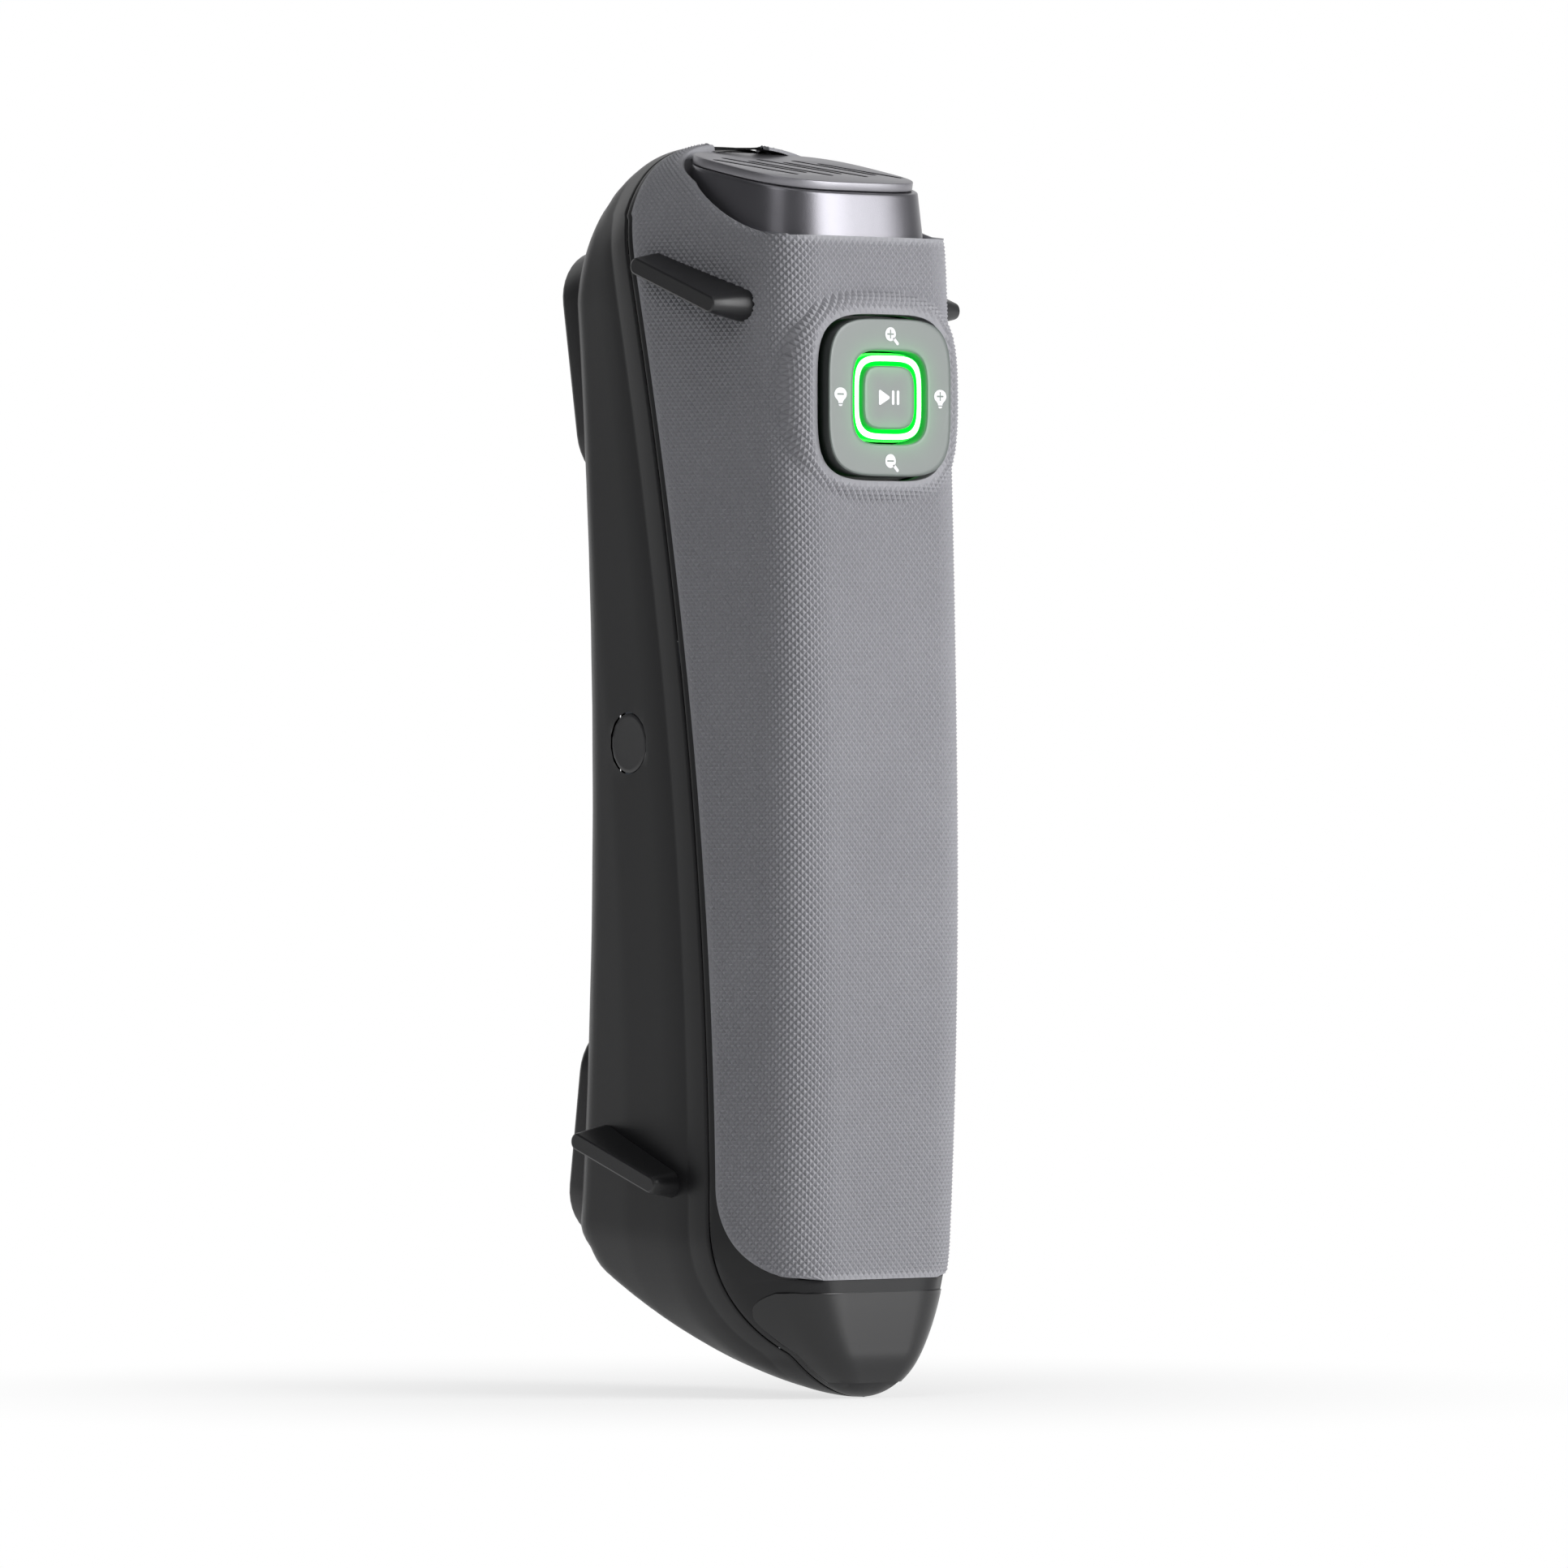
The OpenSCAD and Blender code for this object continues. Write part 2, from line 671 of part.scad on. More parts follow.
barrel_l = 11;
mount_l = 8;
module lens_barrel(top) {
    color("#1c1c1e") at_pod(top) difference() {
        union() {
            translate([0, 0, -5.2 - barrel_l]) cylinder(r = lens_r, h = barrel_l);
            translate([0, 0, -5.2 - barrel_l - mount_l]) cylinder(r = lens_r + 2.5, h = mount_l + eps);
        }
        translate([0, 0, -8.2]) cylinder(r = lens_r - 1.5, h = 4);
        translate([0, 0, -40]) cylinder(r = lens_r - 3, h = 40);
    }
}

module lens_glass(top) {
    color("#2e4a66") at_pod(top) translate([0, 0, -8.2]) cylinder(r = lens_r - 1.5 - pin_fit, h = 2.2);
}

sensor_z = -5.2 - barrel_l - mount_l;
module sensor_board(top) {
    color("#1f5c35") at_pod(top) {
        translate([-14, -14, sensor_z - board_t]) cube([28, 28, board_t]);
        translate([-3.4, -3.4, sensor_z]) cube([6.8, 6.8, 1.2]);
    }
}

module camera_bracket(top) {
    color("#a9abad") difference() {
        at_pod(top) difference() {
            translate([-13, -12, sensor_z - board_t - 20]) cube([26, 24, 20]);
            translate([-8, -20, sensor_z - board_t - 30]) cube([16, 40, 40]);
        }
        box_at(-far / 2, far / 2, bench_front, far, -10, body_h + 10);
    }
}

module centre_window() {
    color("#101418") translate([0, -front_depth + 1.5, waist_z]) rotate([90, 0, 0])
        rounded_plate(window_w, window_h, 5, window_t);
}

module laser_block() {
    color("#8f9194") difference() {
        box_at(-12, 12, block_y, bench_front, waist_z - 28, waist_z + 28);
        for (s = [-1, 1]) rod_y(0, waist_z + s * laser_rise, laser_r + pin_fit, -far / 2, bench_front - 1);
        rod_y(0, waist_z, 5 + pin_fit, -far / 2, bench_front - 1);
    }
}

module laser_module(s) {
    color("#b9a15a") difference() {
        rod_y(0, waist_z + s * laser_rise, laser_r, 6 - front_depth, bench_front - 1);
        rod_y(0, waist_z + s * laser_rise, 3.4, 5 - front_depth, 9 - front_depth);
    }
    color("#7a1420") rod_y(0, waist_z + s * laser_rise, 3.4 - pin_fit, 6.5 - front_depth, 9 - front_depth);
}

module colour_camera() {
    color("#1c1c1e") difference() {
        rod_y(0, waist_z, 5, 6 - front_depth, bench_front - 1);
        rod_y(0, waist_z, 3, 5 - front_depth, 9 - front_depth);
    }
    color("#2e4a66") rod_y(0, waist_z, 3 - pin_fit, 7 - front_depth, 9 - front_depth);
}

module optical_bench() {
    color("#b4b6b8") difference() {
        box_at(-bench_half_w, bench_half_w, bench_front, bench_back, bench_low, bench_high);
        for (z = bench_bolts, side = [-1, 1])
            rod_y(side * bench_bolt_x, z, 1.25 + 0.2, bench_front - 1, bench_back + 1);
        for (z = [board_low + 4, board_high - 4], side = [-1, 1])
            rod_y(side * post_x, z, 1 + pin_fit, bench_front - 1, bench_back + 1);
        for (z = [bench_low + 40, bench_high - 40]) rod_y(0, z, 7, bench_front - 1, bench_back + 1);
    }
}

module screw_y(x, z, r, head_r, tip, seat) {
    rod_y(x, z, r, tip, seat + eps);
    difference() {
        rod_y(x, z, head_r, seat, seat + case_head_t);
        translate([x, seat + 2, z]) rotate([90, 0, 0]) cylinder(r = 1.1, h = 1.2, $fn = 6);
    }
}

module bench_screws() {
    color("#5a5a5c") for (z = bench_bolts, side = [-1, 1])
        screw_y(side * bench_bolt_x, z, 1.25, 2.6, bench_front - 8, bench_back);
}

module case_screws() {
    color("#5a5a5c") for (z = case_z, side = [-1, 1])
        screw_y(side * case_x(z), z, 1.25, case_head_r, seam_y(z) - 7, seam_y(z) + case_boss_l);
}

/* ---- electronics ---- */
module board_posts() {
    color("#b08d3c") for (z = [board_low + 4, board_high - 4], side = [-1, 1]) union() {
        rod_y(side * post_x, z, 2.4, bench_back, board_y);
        rod_y(side * post_x, z, 1, bench_front + 1, bench_back + eps);
    }
}

module main_board() {
    color("#1f5c35") difference() {
        box_at(-board_half_w, board_half_w, board_y, board_y + board_t, board_low, board_high);
        for (z = [board_low + 4, board_high - 4], side = [-1, 1])
            rod_y(side * post_x, z, 1.3, board_y - 1, board_y + board_t + 1);
    }
}

module board_screws() {
    color("#8a8a8c") for (z = [board_low + 4, board_high - 4], side = [-1, 1])
        difference() {
            rod_y(side * post_x, z, 2.3, board_y + board_t, board_y + board_t + 1.6);
            translate([side * post_x, board_y + board_t + 2, z]) rotate([90, 0, 0])
                cylinder(r = 1.1, h = 1.2, $fn = 6);
        }
}

chip_back = board_y + board_t;
module main_chips() {
    color("#161617") {
        box_at(-8, 8, chip_back, chip_back + 2, waist_z - 8, waist_z + 8);
        for (s = [-1, 1]) box_at(-5, 5, chip_back, chip_back + 1.4, waist_z + s * 26 - 6, waist_z + s * 26 + 6);
        for (s = [0 : 3]) box_at(-13 + 7 * s, -9 + 7 * s, chip_back, chip_back + 3, board_low + 10, board_low + 14);
    }
}

fin_count = 7;
module heat_sink() {
    color("#9a9c9f") {
        box_at(-12, 12, chip_back + 2, chip_back + 4, waist_z - 14, waist_z + 14);
        for (i = [0 : fin_count - 1])
            box_at(-12 + i * 22.8 / (fin_count - 1), -10.8 + i * 22.8 / (fin_count - 1),
                   chip_back + 4 - eps, chip_back + 11, waist_z - 14, waist_z + 14);
    }
}

module ribbon_cable() {
    z_top = pad_z - 14;
    z_low = board_high - 10;
    color("#c9c3b0") across([
        [key_board_y, z_top], [key_board_y - 0.6, z_top], [key_board_y - 4, z_top - 3], [chip_back + 3, z_low + 2],
        [chip_back, z_low + 1], [chip_back, z_low], [chip_back + 3.4, z_low + 1.2],
        [key_board_y - 3.4, z_top - 3.6], [key_board_y, z_top - 0.8]], 5);
}

/* ---- controls ---- */
module key_board() {
    color("#1f5c35") difference() {
        box_at(-corner_x - 2, corner_x + 2, key_board_y, mat_y, pad_z - corner_z - 2, pad_z + corner_z + 2);
        for (x = [-1, 1], z = [-1, 1])
            rod_y(x * corner_x, pad_z + z * corner_z, 1.1, key_board_y - 1, mat_y + 1);
    }
}

module key_screws() {
    color("#8a8a8c") for (x = [-1, 1], z = [-1, 1])
        translate([x * corner_x, 0, pad_z + z * corner_z]) {
            rod_y(0, 0, 0.9, key_board_y - eps, mat_y + 5);
            rod_y(0, 0, 1.9, key_board_y - 1.2, key_board_y);
        }
}

module dome_mat() {
    color("#3d3f42") union() {
        difference() {
            pad_block(well_a - 0.4, well_b - 0.4, mat_y, tray_y);
            for (x = [-1, 1], z = [-1, 1])
                rod_y(x * corner_x, pad_z + z * corner_z, 2.4, mat_y - 1, tray_y + 1);
        }
        for (s = [-1, 1]) {
            rod_y(s * dome_x, pad_z, dome_r, mat_y, skirt_y - dome_drop);
            rod_y(0, pad_z + s * dome_z, dome_r, mat_y, skirt_y - dome_drop);
        }
        rod_y(0, pad_z, 2.6, mat_y, skirt_y - key_travel - 0.15);
    }
}

module keypad_tray() {
    color("#242426") difference() {
        pad_block(tray_a, tray_b, tray_y, tray_top);
        pad_block(tray_a - tray_wall, tray_b - tray_wall, tray_y - 1, tray_top + 1);
        translate([-far / 4, pivot_y, pad_z]) rotate([0, 90, 0]) cylinder(r = pin_r + pin_fit, h = far / 2);
    }
}

module rocker_gimbal() {
    color("#d8d8d2") difference() {
        union() {
            pad_block(gimbal_a, gimbal_b, pivot_y - 1.4, pivot_y + 1.4);
            translate([-tray_a + 0.3, pivot_y, pad_z]) rotate([0, 90, 0]) cylinder(r = pin_r, h = 2 * tray_a - 0.6);
        }
        pad_block(gimbal_a - gimbal_wall, gimbal_b - gimbal_wall, pivot_y - 3, pivot_y + 3);
        translate([0, pivot_y, pad_z - far / 4]) cylinder(r = pin_r + pin_fit, h = far / 2);
    }
}

module rocker_pad() {
    color("#5f6864") difference() {
        union() {
            pad_block(pad_w / 2, pad_h / 2, pad_back_y, pad_face_y);
            pad_block(skirt_a, skirt_b, skirt_y, pad_back_y + eps);
            translate([0, pivot_y, pad_z - gimbal_b + 0.3]) cylinder(r = pin_r, h = 2 * gimbal_b - 0.6);
        }
        pad_block(hole_a, hole_b, skirt_y - 3, pad_face_y + 1);
    }
}

module light_ring() {
    color("#35e36a") difference() {
        pad_block(ring_w / 2, ring_h / 2, tray_y, pad_face_y - 0.8);
        pad_block(ring_w / 2 - ring_wall, ring_h / 2 - ring_wall, tray_y - 1, pad_face_y);
    }
}

module centre_key() {
    color("#58615d") union() {
        pad_block(key_a, key_b, skirt_y, pad_face_y - 0.3);
        pad_block(ring_w / 2 - ring_wall - 0.15, ring_h / 2 - ring_wall - 0.15, skirt_y + 1, skirt_y + 3);
    }
}

/* ---- fan and connector ---- */
module air_duct() {
    color("#2a2a2c") translate([0, 0, duct_z]) linear_extrude(duct_t) difference() {
        cap_outline(-2);
        translate([0, fan_y]) circle(fan_w / 2 - 1.5);
    }
}

module fan_frame() {
    color("#1d1d1f") union() {
        difference() {
            translate([-fan_w / 2, fan_y - fan_w / 2, fan_z]) cube([fan_w, fan_w, fan_t]);
            translate([0, fan_y, fan_z - 1]) cylinder(r = fan_w / 2 - 1, h = fan_t + 2);
        }
        translate([0, fan_y, fan_z]) difference() {
            for (a = [45, 135]) rotate(a) translate([-fan_w / 2 + 0.2, -1, 0]) cube([fan_w - 0.4, 2, 1.2]);
            translate([0, 0, -1]) cylinder(r = 4, h = 4);
        }
        translate([0, fan_y, fan_z]) difference() {
            cylinder(r = 5, h = 1.2);
            translate([0, 0, -1]) cylinder(r = 1 + pin_fit, h = 4);
        }
    }
}

module fan_rotor() {
    color("#2f3033") translate([0, fan_y, fan_z]) union() {
        cylinder(r = 1, h = 2);
        translate([0, 0, 1.5]) cylinder(r = 5.5, h = fan_t - 2);
        for (i = [0 : blade_count - 1]) rotate(i * 360 / blade_count)
            translate([5, -0.5, 1.7]) rotate([28, 0, 0]) cube([fan_w / 2 - 7, 1, fan_t - 3.4]);
    }
}

contact_count = 6;
contact_r = 0.6;
// Places the flush contacts in the floor of the connector
module contact_ring() {
    for (i = [0 : contact_count - 1]) rotate(i * 360 / contact_count)
        translate([socket_r * 0.55, 0, -socket_body_l - 0.6]) children();
}

module connector_socket() {
    color("#9b9ca0") at_socket() difference() {
        union() {
            translate([0, 0, -socket_flange_t]) cylinder(r = socket_flange_r, h = socket_flange_t);
            translate([0, 0, -socket_body_l]) cylinder(r = socket_body_r, h = socket_body_l);
        }
        translate([0, 0, -socket_depth]) cylinder(r = socket_r, h = socket_depth + 1);
        contact_ring() cylinder(r = contact_r + pin_fit, h = socket_body_l - socket_depth + 1);
    }
}

module connector_pins() {
    color("#c8a648") at_socket() contact_ring() cylinder(r = contact_r, h = socket_body_l - socket_depth + 0.6);
}

placed() front_shell();
placed() back_shell();
placed() shell_seal();
placed() grip_skin();
placed() label_plate();
placed() cap_collar();
placed() vent_plate();
placed() side_foot(-1, true);  // upper_foot_left
placed() side_foot(1, true);  // upper_foot_right
placed() side_foot(-1, false);  // lower_foot_left
placed() side_foot(1, false);  // lower_foot_right
placed() side_plug(-1);  // side_plug_left
placed() side_plug(1);  // side_plug_right
placed() side_inserts();
placed() pod_window(true);  // pod_window_upper
placed() pod_window(false);  // pod_window_lower
placed() led_board(true);  // led_board_upper
placed() led_board(false);  // led_board_lower
placed() lens_barrel(true);  // lens_barrel_upper
placed() lens_barrel(false);  // lens_barrel_lower
placed() lens_glass(true);  // lens_glass_upper
placed() lens_glass(false);  // lens_glass_lower
placed() sensor_board(true);  // sensor_board_upper
placed() sensor_board(false);  // sensor_board_lower
placed() camera_bracket(true);  // camera_bracket_upper
placed() camera_bracket(false);  // camera_bracket_lower
placed() centre_window();
placed() laser_block();
placed() laser_module(1);  // laser_module_upper
placed() laser_module(-1);  // laser_module_lower
placed() colour_camera();
placed() optical_bench();
placed() bench_screws();
placed() case_screws();
placed() board_posts();
placed() main_board();
placed() board_screws();
placed() main_chips();
placed() heat_sink();
placed() ribbon_cable();
placed() key_board();
placed() key_screws();
placed() dome_mat();
placed() keypad_tray();
placed() rocker_gimbal();
placed() rocker_pad();
placed() light_ring();
placed() centre_key();
placed() air_duct();
placed() fan_frame();
placed() fan_rotor();
placed() connector_socket();
placed() connector_pins();
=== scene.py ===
import math

import bmesh
import bpy
import numpy as np
from mathutils import Matrix, Vector


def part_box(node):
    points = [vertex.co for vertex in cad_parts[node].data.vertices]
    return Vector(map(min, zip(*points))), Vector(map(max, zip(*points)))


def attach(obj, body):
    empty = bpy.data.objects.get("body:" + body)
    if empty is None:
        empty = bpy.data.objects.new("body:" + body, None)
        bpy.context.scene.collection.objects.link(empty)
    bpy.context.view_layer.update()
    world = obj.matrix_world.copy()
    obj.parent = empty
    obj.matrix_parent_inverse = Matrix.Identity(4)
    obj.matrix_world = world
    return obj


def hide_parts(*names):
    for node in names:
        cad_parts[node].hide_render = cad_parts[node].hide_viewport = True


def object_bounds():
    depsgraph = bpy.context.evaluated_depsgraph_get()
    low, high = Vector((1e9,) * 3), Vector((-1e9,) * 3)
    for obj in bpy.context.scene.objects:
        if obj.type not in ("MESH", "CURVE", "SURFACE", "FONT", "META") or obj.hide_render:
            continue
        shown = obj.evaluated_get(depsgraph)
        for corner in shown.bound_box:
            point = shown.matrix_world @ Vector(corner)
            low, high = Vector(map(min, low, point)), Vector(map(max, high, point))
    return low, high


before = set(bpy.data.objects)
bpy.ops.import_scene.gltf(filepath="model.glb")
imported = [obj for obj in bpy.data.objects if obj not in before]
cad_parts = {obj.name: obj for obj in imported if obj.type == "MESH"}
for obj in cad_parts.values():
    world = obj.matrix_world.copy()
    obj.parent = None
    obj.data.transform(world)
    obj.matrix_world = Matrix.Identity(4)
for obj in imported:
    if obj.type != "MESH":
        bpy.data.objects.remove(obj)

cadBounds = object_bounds()
mm = 0.001


def corners(node):
    # lowest and highest corner of a CAD piece, in millimetres
    low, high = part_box(node)
    return np.array(low) / mm, np.array(high) / mm


# ---- camera, lamps, floor ----
print("stage: camera, lamps and floor")
studio = {
    "turn": 138.7,            # degrees round the object
    "distance": 3000,
    "span": 339.5,            # width of the frame at the object
    "aim": (-3.4, 3.0, -3.6),  # from the middle of the CAD box
    "keyPower": 23.0,
    "sidePower": 1.5,
    "topPower": 3.0,
    "rimPower": 1.2,
    "worldStrength": 0.1,
}


def linear(hexColour):
    # sRGB hex to linear RGBA
    parts = [int(hexColour[i:i + 2], 16) / 255 for i in (1, 3, 5)]
    return tuple(c / 12.92 if c <= 0.04045 else ((c + 0.055) / 1.055) ** 2.4 for c in parts) + (1.0,)


def addNode(tree, kind, settings=None, links=None):
    node = tree.nodes.new(kind)
    for key, value in (settings or {}).items():
        if isinstance(key, int) or key in node.inputs:
            node.inputs[key].default_value = value
        else:
            setattr(node, key, value)
    for key, source in (links or {}).items():
        tree.links.new(source, node.inputs[key])
    return node


middle = (Vector(cadBounds[0]) + Vector(cadBounds[1])) / 2
aim = middle + Vector(studio["aim"]) * mm
turn = math.radians(studio["turn"])
toCamera = Vector((math.sin(turn), -math.cos(turn), 0))
toRight = Vector((math.cos(turn), math.sin(turn), 0))


def makeCamera():
    camera = bpy.data.objects.new("camera", bpy.data.cameras.new("camera"))
    bpy.context.scene.collection.objects.link(camera)
    camera.data.sensor_width = 36
    camera.data.lens = 36 * studio["distance"] / studio["span"]
    camera.data.clip_end = 50
    camera.location = aim + toCamera * studio["distance"] * mm
    camera.rotation_euler = (-toCamera).to_track_quat("-Z", "Y").to_euler()
    bpy.context.scene.camera = camera


def addLamp(name, right, near, up, power, size):
    # an area lamp placed by the directions of the view, looking at the object
    lamp = bpy.data.objects.new(name, bpy.data.lights.new(name, "AREA"))
    bpy.context.scene.collection.objects.link(lamp)
    lamp.data.shape = "RECTANGLE"
    lamp.data.size, lamp.data.size_y = size
    lamp.data.energy = power
    lamp.location = aim + toRight * right + toCamera * near + Vector((0, 0, up))
    lamp.rotation_euler = (aim - lamp.location).to_track_quat("-Z", "Y").to_euler()


def makeWorld():
    # the camera sees white all round; gloss and glass see the white set behind the object
    world = bpy.data.worlds.new("studio")
    world.use_nodes = True
    bpy.context.scene.world = world
    tree = world.node_tree
    tree.nodes.clear()
    rays = addNode(tree, "ShaderNodeLightPath")
    way = addNode(tree, "ShaderNodeTexCoord")
    behind = addNode(tree, "ShaderNodeVectorMath", {"operation": "DOT_PRODUCT", 1: tuple(-toCamera)},
                     {0: way.outputs["Generated"]})
    spread = addNode(tree, "ShaderNodeMapRange", {"From Min": 0.5, "From Max": 0.9},
                     {"Value": behind.outputs["Value"]})
    gloss = addNode(tree, "ShaderNodeMath", {"operation": "MAXIMUM"},
                    {0: rays.outputs["Is Glossy Ray"], 1: rays.outputs["Is Transmission Ray"]})
    seen = addNode(tree, "ShaderNodeMath", {"operation": "MULTIPLY"},
                   {0: gloss.outputs[0], 1: spread.outputs["Result"]})
    white = addNode(tree, "ShaderNodeMath", {"operation": "MAXIMUM"},
                    {0: rays.outputs["Is Camera Ray"], 1: seen.outputs[0]})
    soft = addNode(tree, "ShaderNodeBackground", {"Color": linear("#f2f4f8"), "Strength": studio["worldStrength"]})
    backdrop = addNode(tree, "ShaderNodeBackground", {"Color": (1, 1, 1, 1), "Strength": 1.0})
    mix = addNode(tree, "ShaderNodeMixShader", None,
                  {0: white.outputs[0], 1: soft.outputs[0], 2: backdrop.outputs[0]})
    addNode(tree, "ShaderNodeOutputWorld", None, {"Surface": mix.outputs[0]})


def makeFloor():
    # pale card that keeps the shadow near the object and runs into the white backdrop further out
    bm = bmesh.new()
    bmesh.ops.create_circle(bm, cap_ends=True, segments=96, radius=6)
    mesh = bpy.data.meshes.new("floor")
    bm.to_mesh(mesh)
    bm.free()
    floor = bpy.data.objects.new("floor", mesh)
    bpy.context.scene.collection.objects.link(floor)
    floor.location.z = cadBounds[0][2] - 0.0002
    card = bpy.data.materials.new("paleCard")
    card.use_nodes = True
    tree = card.node_tree
    tree.nodes.clear()
    rays = addNode(tree, "ShaderNodeLightPath")
    spot = addNode(tree, "ShaderNodeTexCoord")
    far = addNode(tree, "ShaderNodeVectorMath", {"operation": "LENGTH"}, {0: spot.outputs["Object"]})
    fade = addNode(tree, "ShaderNodeMapRange", {"From Min": 0.02, "From Max": 0.22, "interpolation_type": "SMOOTHSTEP"},
                   {"Value": far.outputs["Value"]})
    gloss = addNode(tree, "ShaderNodeMath", {"operation": "MAXIMUM"},
                    {0: rays.outputs["Is Camera Ray"], 1: rays.outputs["Is Glossy Ray"]})
    anySeen = addNode(tree, "ShaderNodeMath", {"operation": "MAXIMUM"},
                      {0: gloss.outputs[0], 1: rays.outputs["Is Transmission Ray"]})
    pale = addNode(tree, "ShaderNodeMapRange", {"To Min": 0.72, "To Max": 1.0}, {"Value": fade.outputs["Result"]})
    share = addNode(tree, "ShaderNodeMath", {"operation": "MULTIPLY"},
                    {0: anySeen.outputs[0], 1: pale.outputs["Result"]})
    matte = addNode(tree, "ShaderNodeBsdfDiffuse", {"Color": linear("#f4f4f4")})
    white = addNode(tree, "ShaderNodeEmission", {"Color": (1, 1, 1, 1), "Strength": 1.0})
    mix = addNode(tree, "ShaderNodeMixShader", None,
                  {0: share.outputs[0], 1: matte.outputs[0], 2: white.outputs[0]})
    addNode(tree, "ShaderNodeOutputMaterial", None, {"Surface": mix.outputs[0]})
    mesh.materials.append(card)


makeCamera()
addLamp("keyLamp", 1.2, 0.45, 0.35, studio["keyPower"], (0.7, 1.3))
addLamp("sideLamp", -0.45, 0.85, 0.65, studio["sidePower"], (0.5, 0.5))
addLamp("topLamp", -0.15, 0.25, 1.30, studio["topPower"], (1.0, 0.7))
addLamp("rimLamp", -0.9, -0.9, 0.35, studio["rimPower"], (0.35, 1.3))
makeWorld()
makeFloor()
bpy.context.scene.view_settings.view_transform = "Standard"

# ---- materials ----
print("stage: materials")


def newMaterial(name):
    material = bpy.data.materials.new(name)
    material.use_nodes = True
    tree = material.node_tree
    shader = next(n for n in tree.nodes if n.type == "BSDF_PRINCIPLED")
    return material, tree, shader


def setShader(shader, settings):
    for key, value in settings.items():
        shader.inputs[key].default_value = value


def grained(name, colours, rough, grainMm, grainHeight, settings=None):
    # a moulded or brushed solid: a fine grain in the surface, and the colour and gloss wander a little
    material, tree, shader = newMaterial(name)
    setShader(shader, settings or {})
    spot = addNode(tree, "ShaderNodeTexCoord")
    cloud = addNode(tree, "ShaderNodeTexNoise", {"Scale": 1000 / 30, "Detail": 3.0},
                    {"Vector": spot.outputs["Object"]})
    tone = addNode(tree, "ShaderNodeValToRGB", None, {"Fac": cloud.outputs["Fac"]})
    tone.color_ramp.elements[0].position = 0.3
    tone.color_ramp.elements[1].position = 0.7
    tone.color_ramp.elements[0].color = linear(colours[0])
    tone.color_ramp.elements[1].color = linear(colours[1])
    tree.links.new(tone.outputs["Color"], shader.inputs["Base Color"])
    grain = addNode(tree, "ShaderNodeTexNoise", {"Scale": 1000 / grainMm, "Detail": 4.0},
                    {"Vector": spot.outputs["Object"]})
    gloss = addNode(tree, "ShaderNodeMapRange", {"To Min": rough - 0.05, "To Max": rough + 0.05},
                    {"Value": grain.outputs["Fac"]})
    tree.links.new(gloss.outputs["Result"], shader.inputs["Roughness"])
    bump = addNode(tree, "ShaderNodeBump", {"Strength": grainHeight, "Distance": 0.00004},
                   {"Height": grain.outputs["Fac"]})
    tree.links.new(bump.outputs["Normal"], shader.inputs["Normal"])
    return material


def softTouchElastomer():
    # overmoulded rubbery skin: matt, no hard highlights, a faint sheen on the tips of the pattern
    return grained("softTouchElastomer", ("#929297", "#98989d"), 0.6, 0.5, 0.2,
                   {"IOR": 1.45, "Specular IOR Level": 0.45, "Sheen Weight": 0.06, "Sheen Roughness": 0.5})


def satinBlackAbs():
    # spark-eroded moulded ABS: deep black with a soft broad sheen
    return grained("satinBlackAbs", ("#161618", "#1a1a1c"), 0.38, 0.35, 0.3,
                   {"IOR": 1.5, "Specular IOR Level": 0.32})


def satinBlackLabel():
    # bare polyester plate: a shade smoother and deeper than the moulding round it
    return grained("satinBlackLabel", ("#0f0f11", "#121214"), 0.3, 0.3, 0.05, {"IOR": 1.52})


def blackFootNylon():
    # glass-filled nylon, fine eroded texture, dull black with a soft edge shine
    return grained("blackFootNylon", ("#19191b", "#1e1e20"), 0.40, 0.3, 0.35, {"IOR": 1.53})


def blastedAluminium():
    # bead-blasted and dyed aluminium: dark grey metal, broad soft reflections, sparkling fine grain
    return grained("blastedAluminium", ("#747378", "#7a797e"), 0.34, 0.25, 0.5,
                   {"Metallic": 0.85})


def blastedPlateLitCopy():
    # the same finish on the flat plate, a little more open, in a lighter grey: painted light on the upward face
    return grained("blastedPlateLitCopy", ("#8b8a8f", "#919095"), 0.42, 0.25, 0.5, {"Metallic": 0.75})


def slotWallShade():
    # painted shade: the inside faces of the vent slots are given a near-black colour so they read as dark gaps
    return grained("slotWallShade", ("#0c0c0d", "#101011"), 0.7, 0.5, 0.1)


def padPolycarbonate():
    # in-mould painted polycarbonate: smooth satin green-grey, with the ring's green light on it painted in as glow: an
    # emission whose strength each point carries
    material = grained("padPolycarbonate", ("#59615e", "#5d6562"), 0.38, 0.6, 0.06,
                       {"IOR": 1.58, "Emission Color": linear("#00c64a"), "Coat Weight": 0.1})
    tree = material.node_tree
    shader = next(n for n in tree.nodes if n.type == "BSDF_PRINCIPLED")
    paintedRingGlow = addNode(tree, "ShaderNodeAttribute", {"attribute_name": "paintedRingGlow"})
    tree.links.new(paintedRingGlow.outputs["Fac"], shader.inputs["Emission Strength"])
    return material


def glowMaterial(name, colour, strength):
    material, tree, shader = newMaterial(name)
    setShader(shader, {"Base Color": linear(colour), "Roughness": 0.4, "Emission Color": linear(colour)})
    spot = addNode(tree, "ShaderNodeTexCoord")
    cloud = addNode(tree, "ShaderNodeTexNoise", {"Scale": 1000 / 6}, {"Vector": spot.outputs["Object"]})
    level = addNode(tree, "ShaderNodeMapRange", {"To Min": strength * 0.95, "To Max": strength * 1.05},
                    {"Value": cloud.outputs["Fac"]})
    tree.links.new(level.outputs["Result"], shader.inputs["Emission Strength"])
    return material


def smokedGlass():
    # filter windows: near-black acrylic, glossy, the parts behind show faintly
    return grained("smokedGlass", ("#3c4046", "#41454b"), 0.06, 3.0, 0.02,
                   {"IOR": 1.49, "Transmission Weight": 0.92})


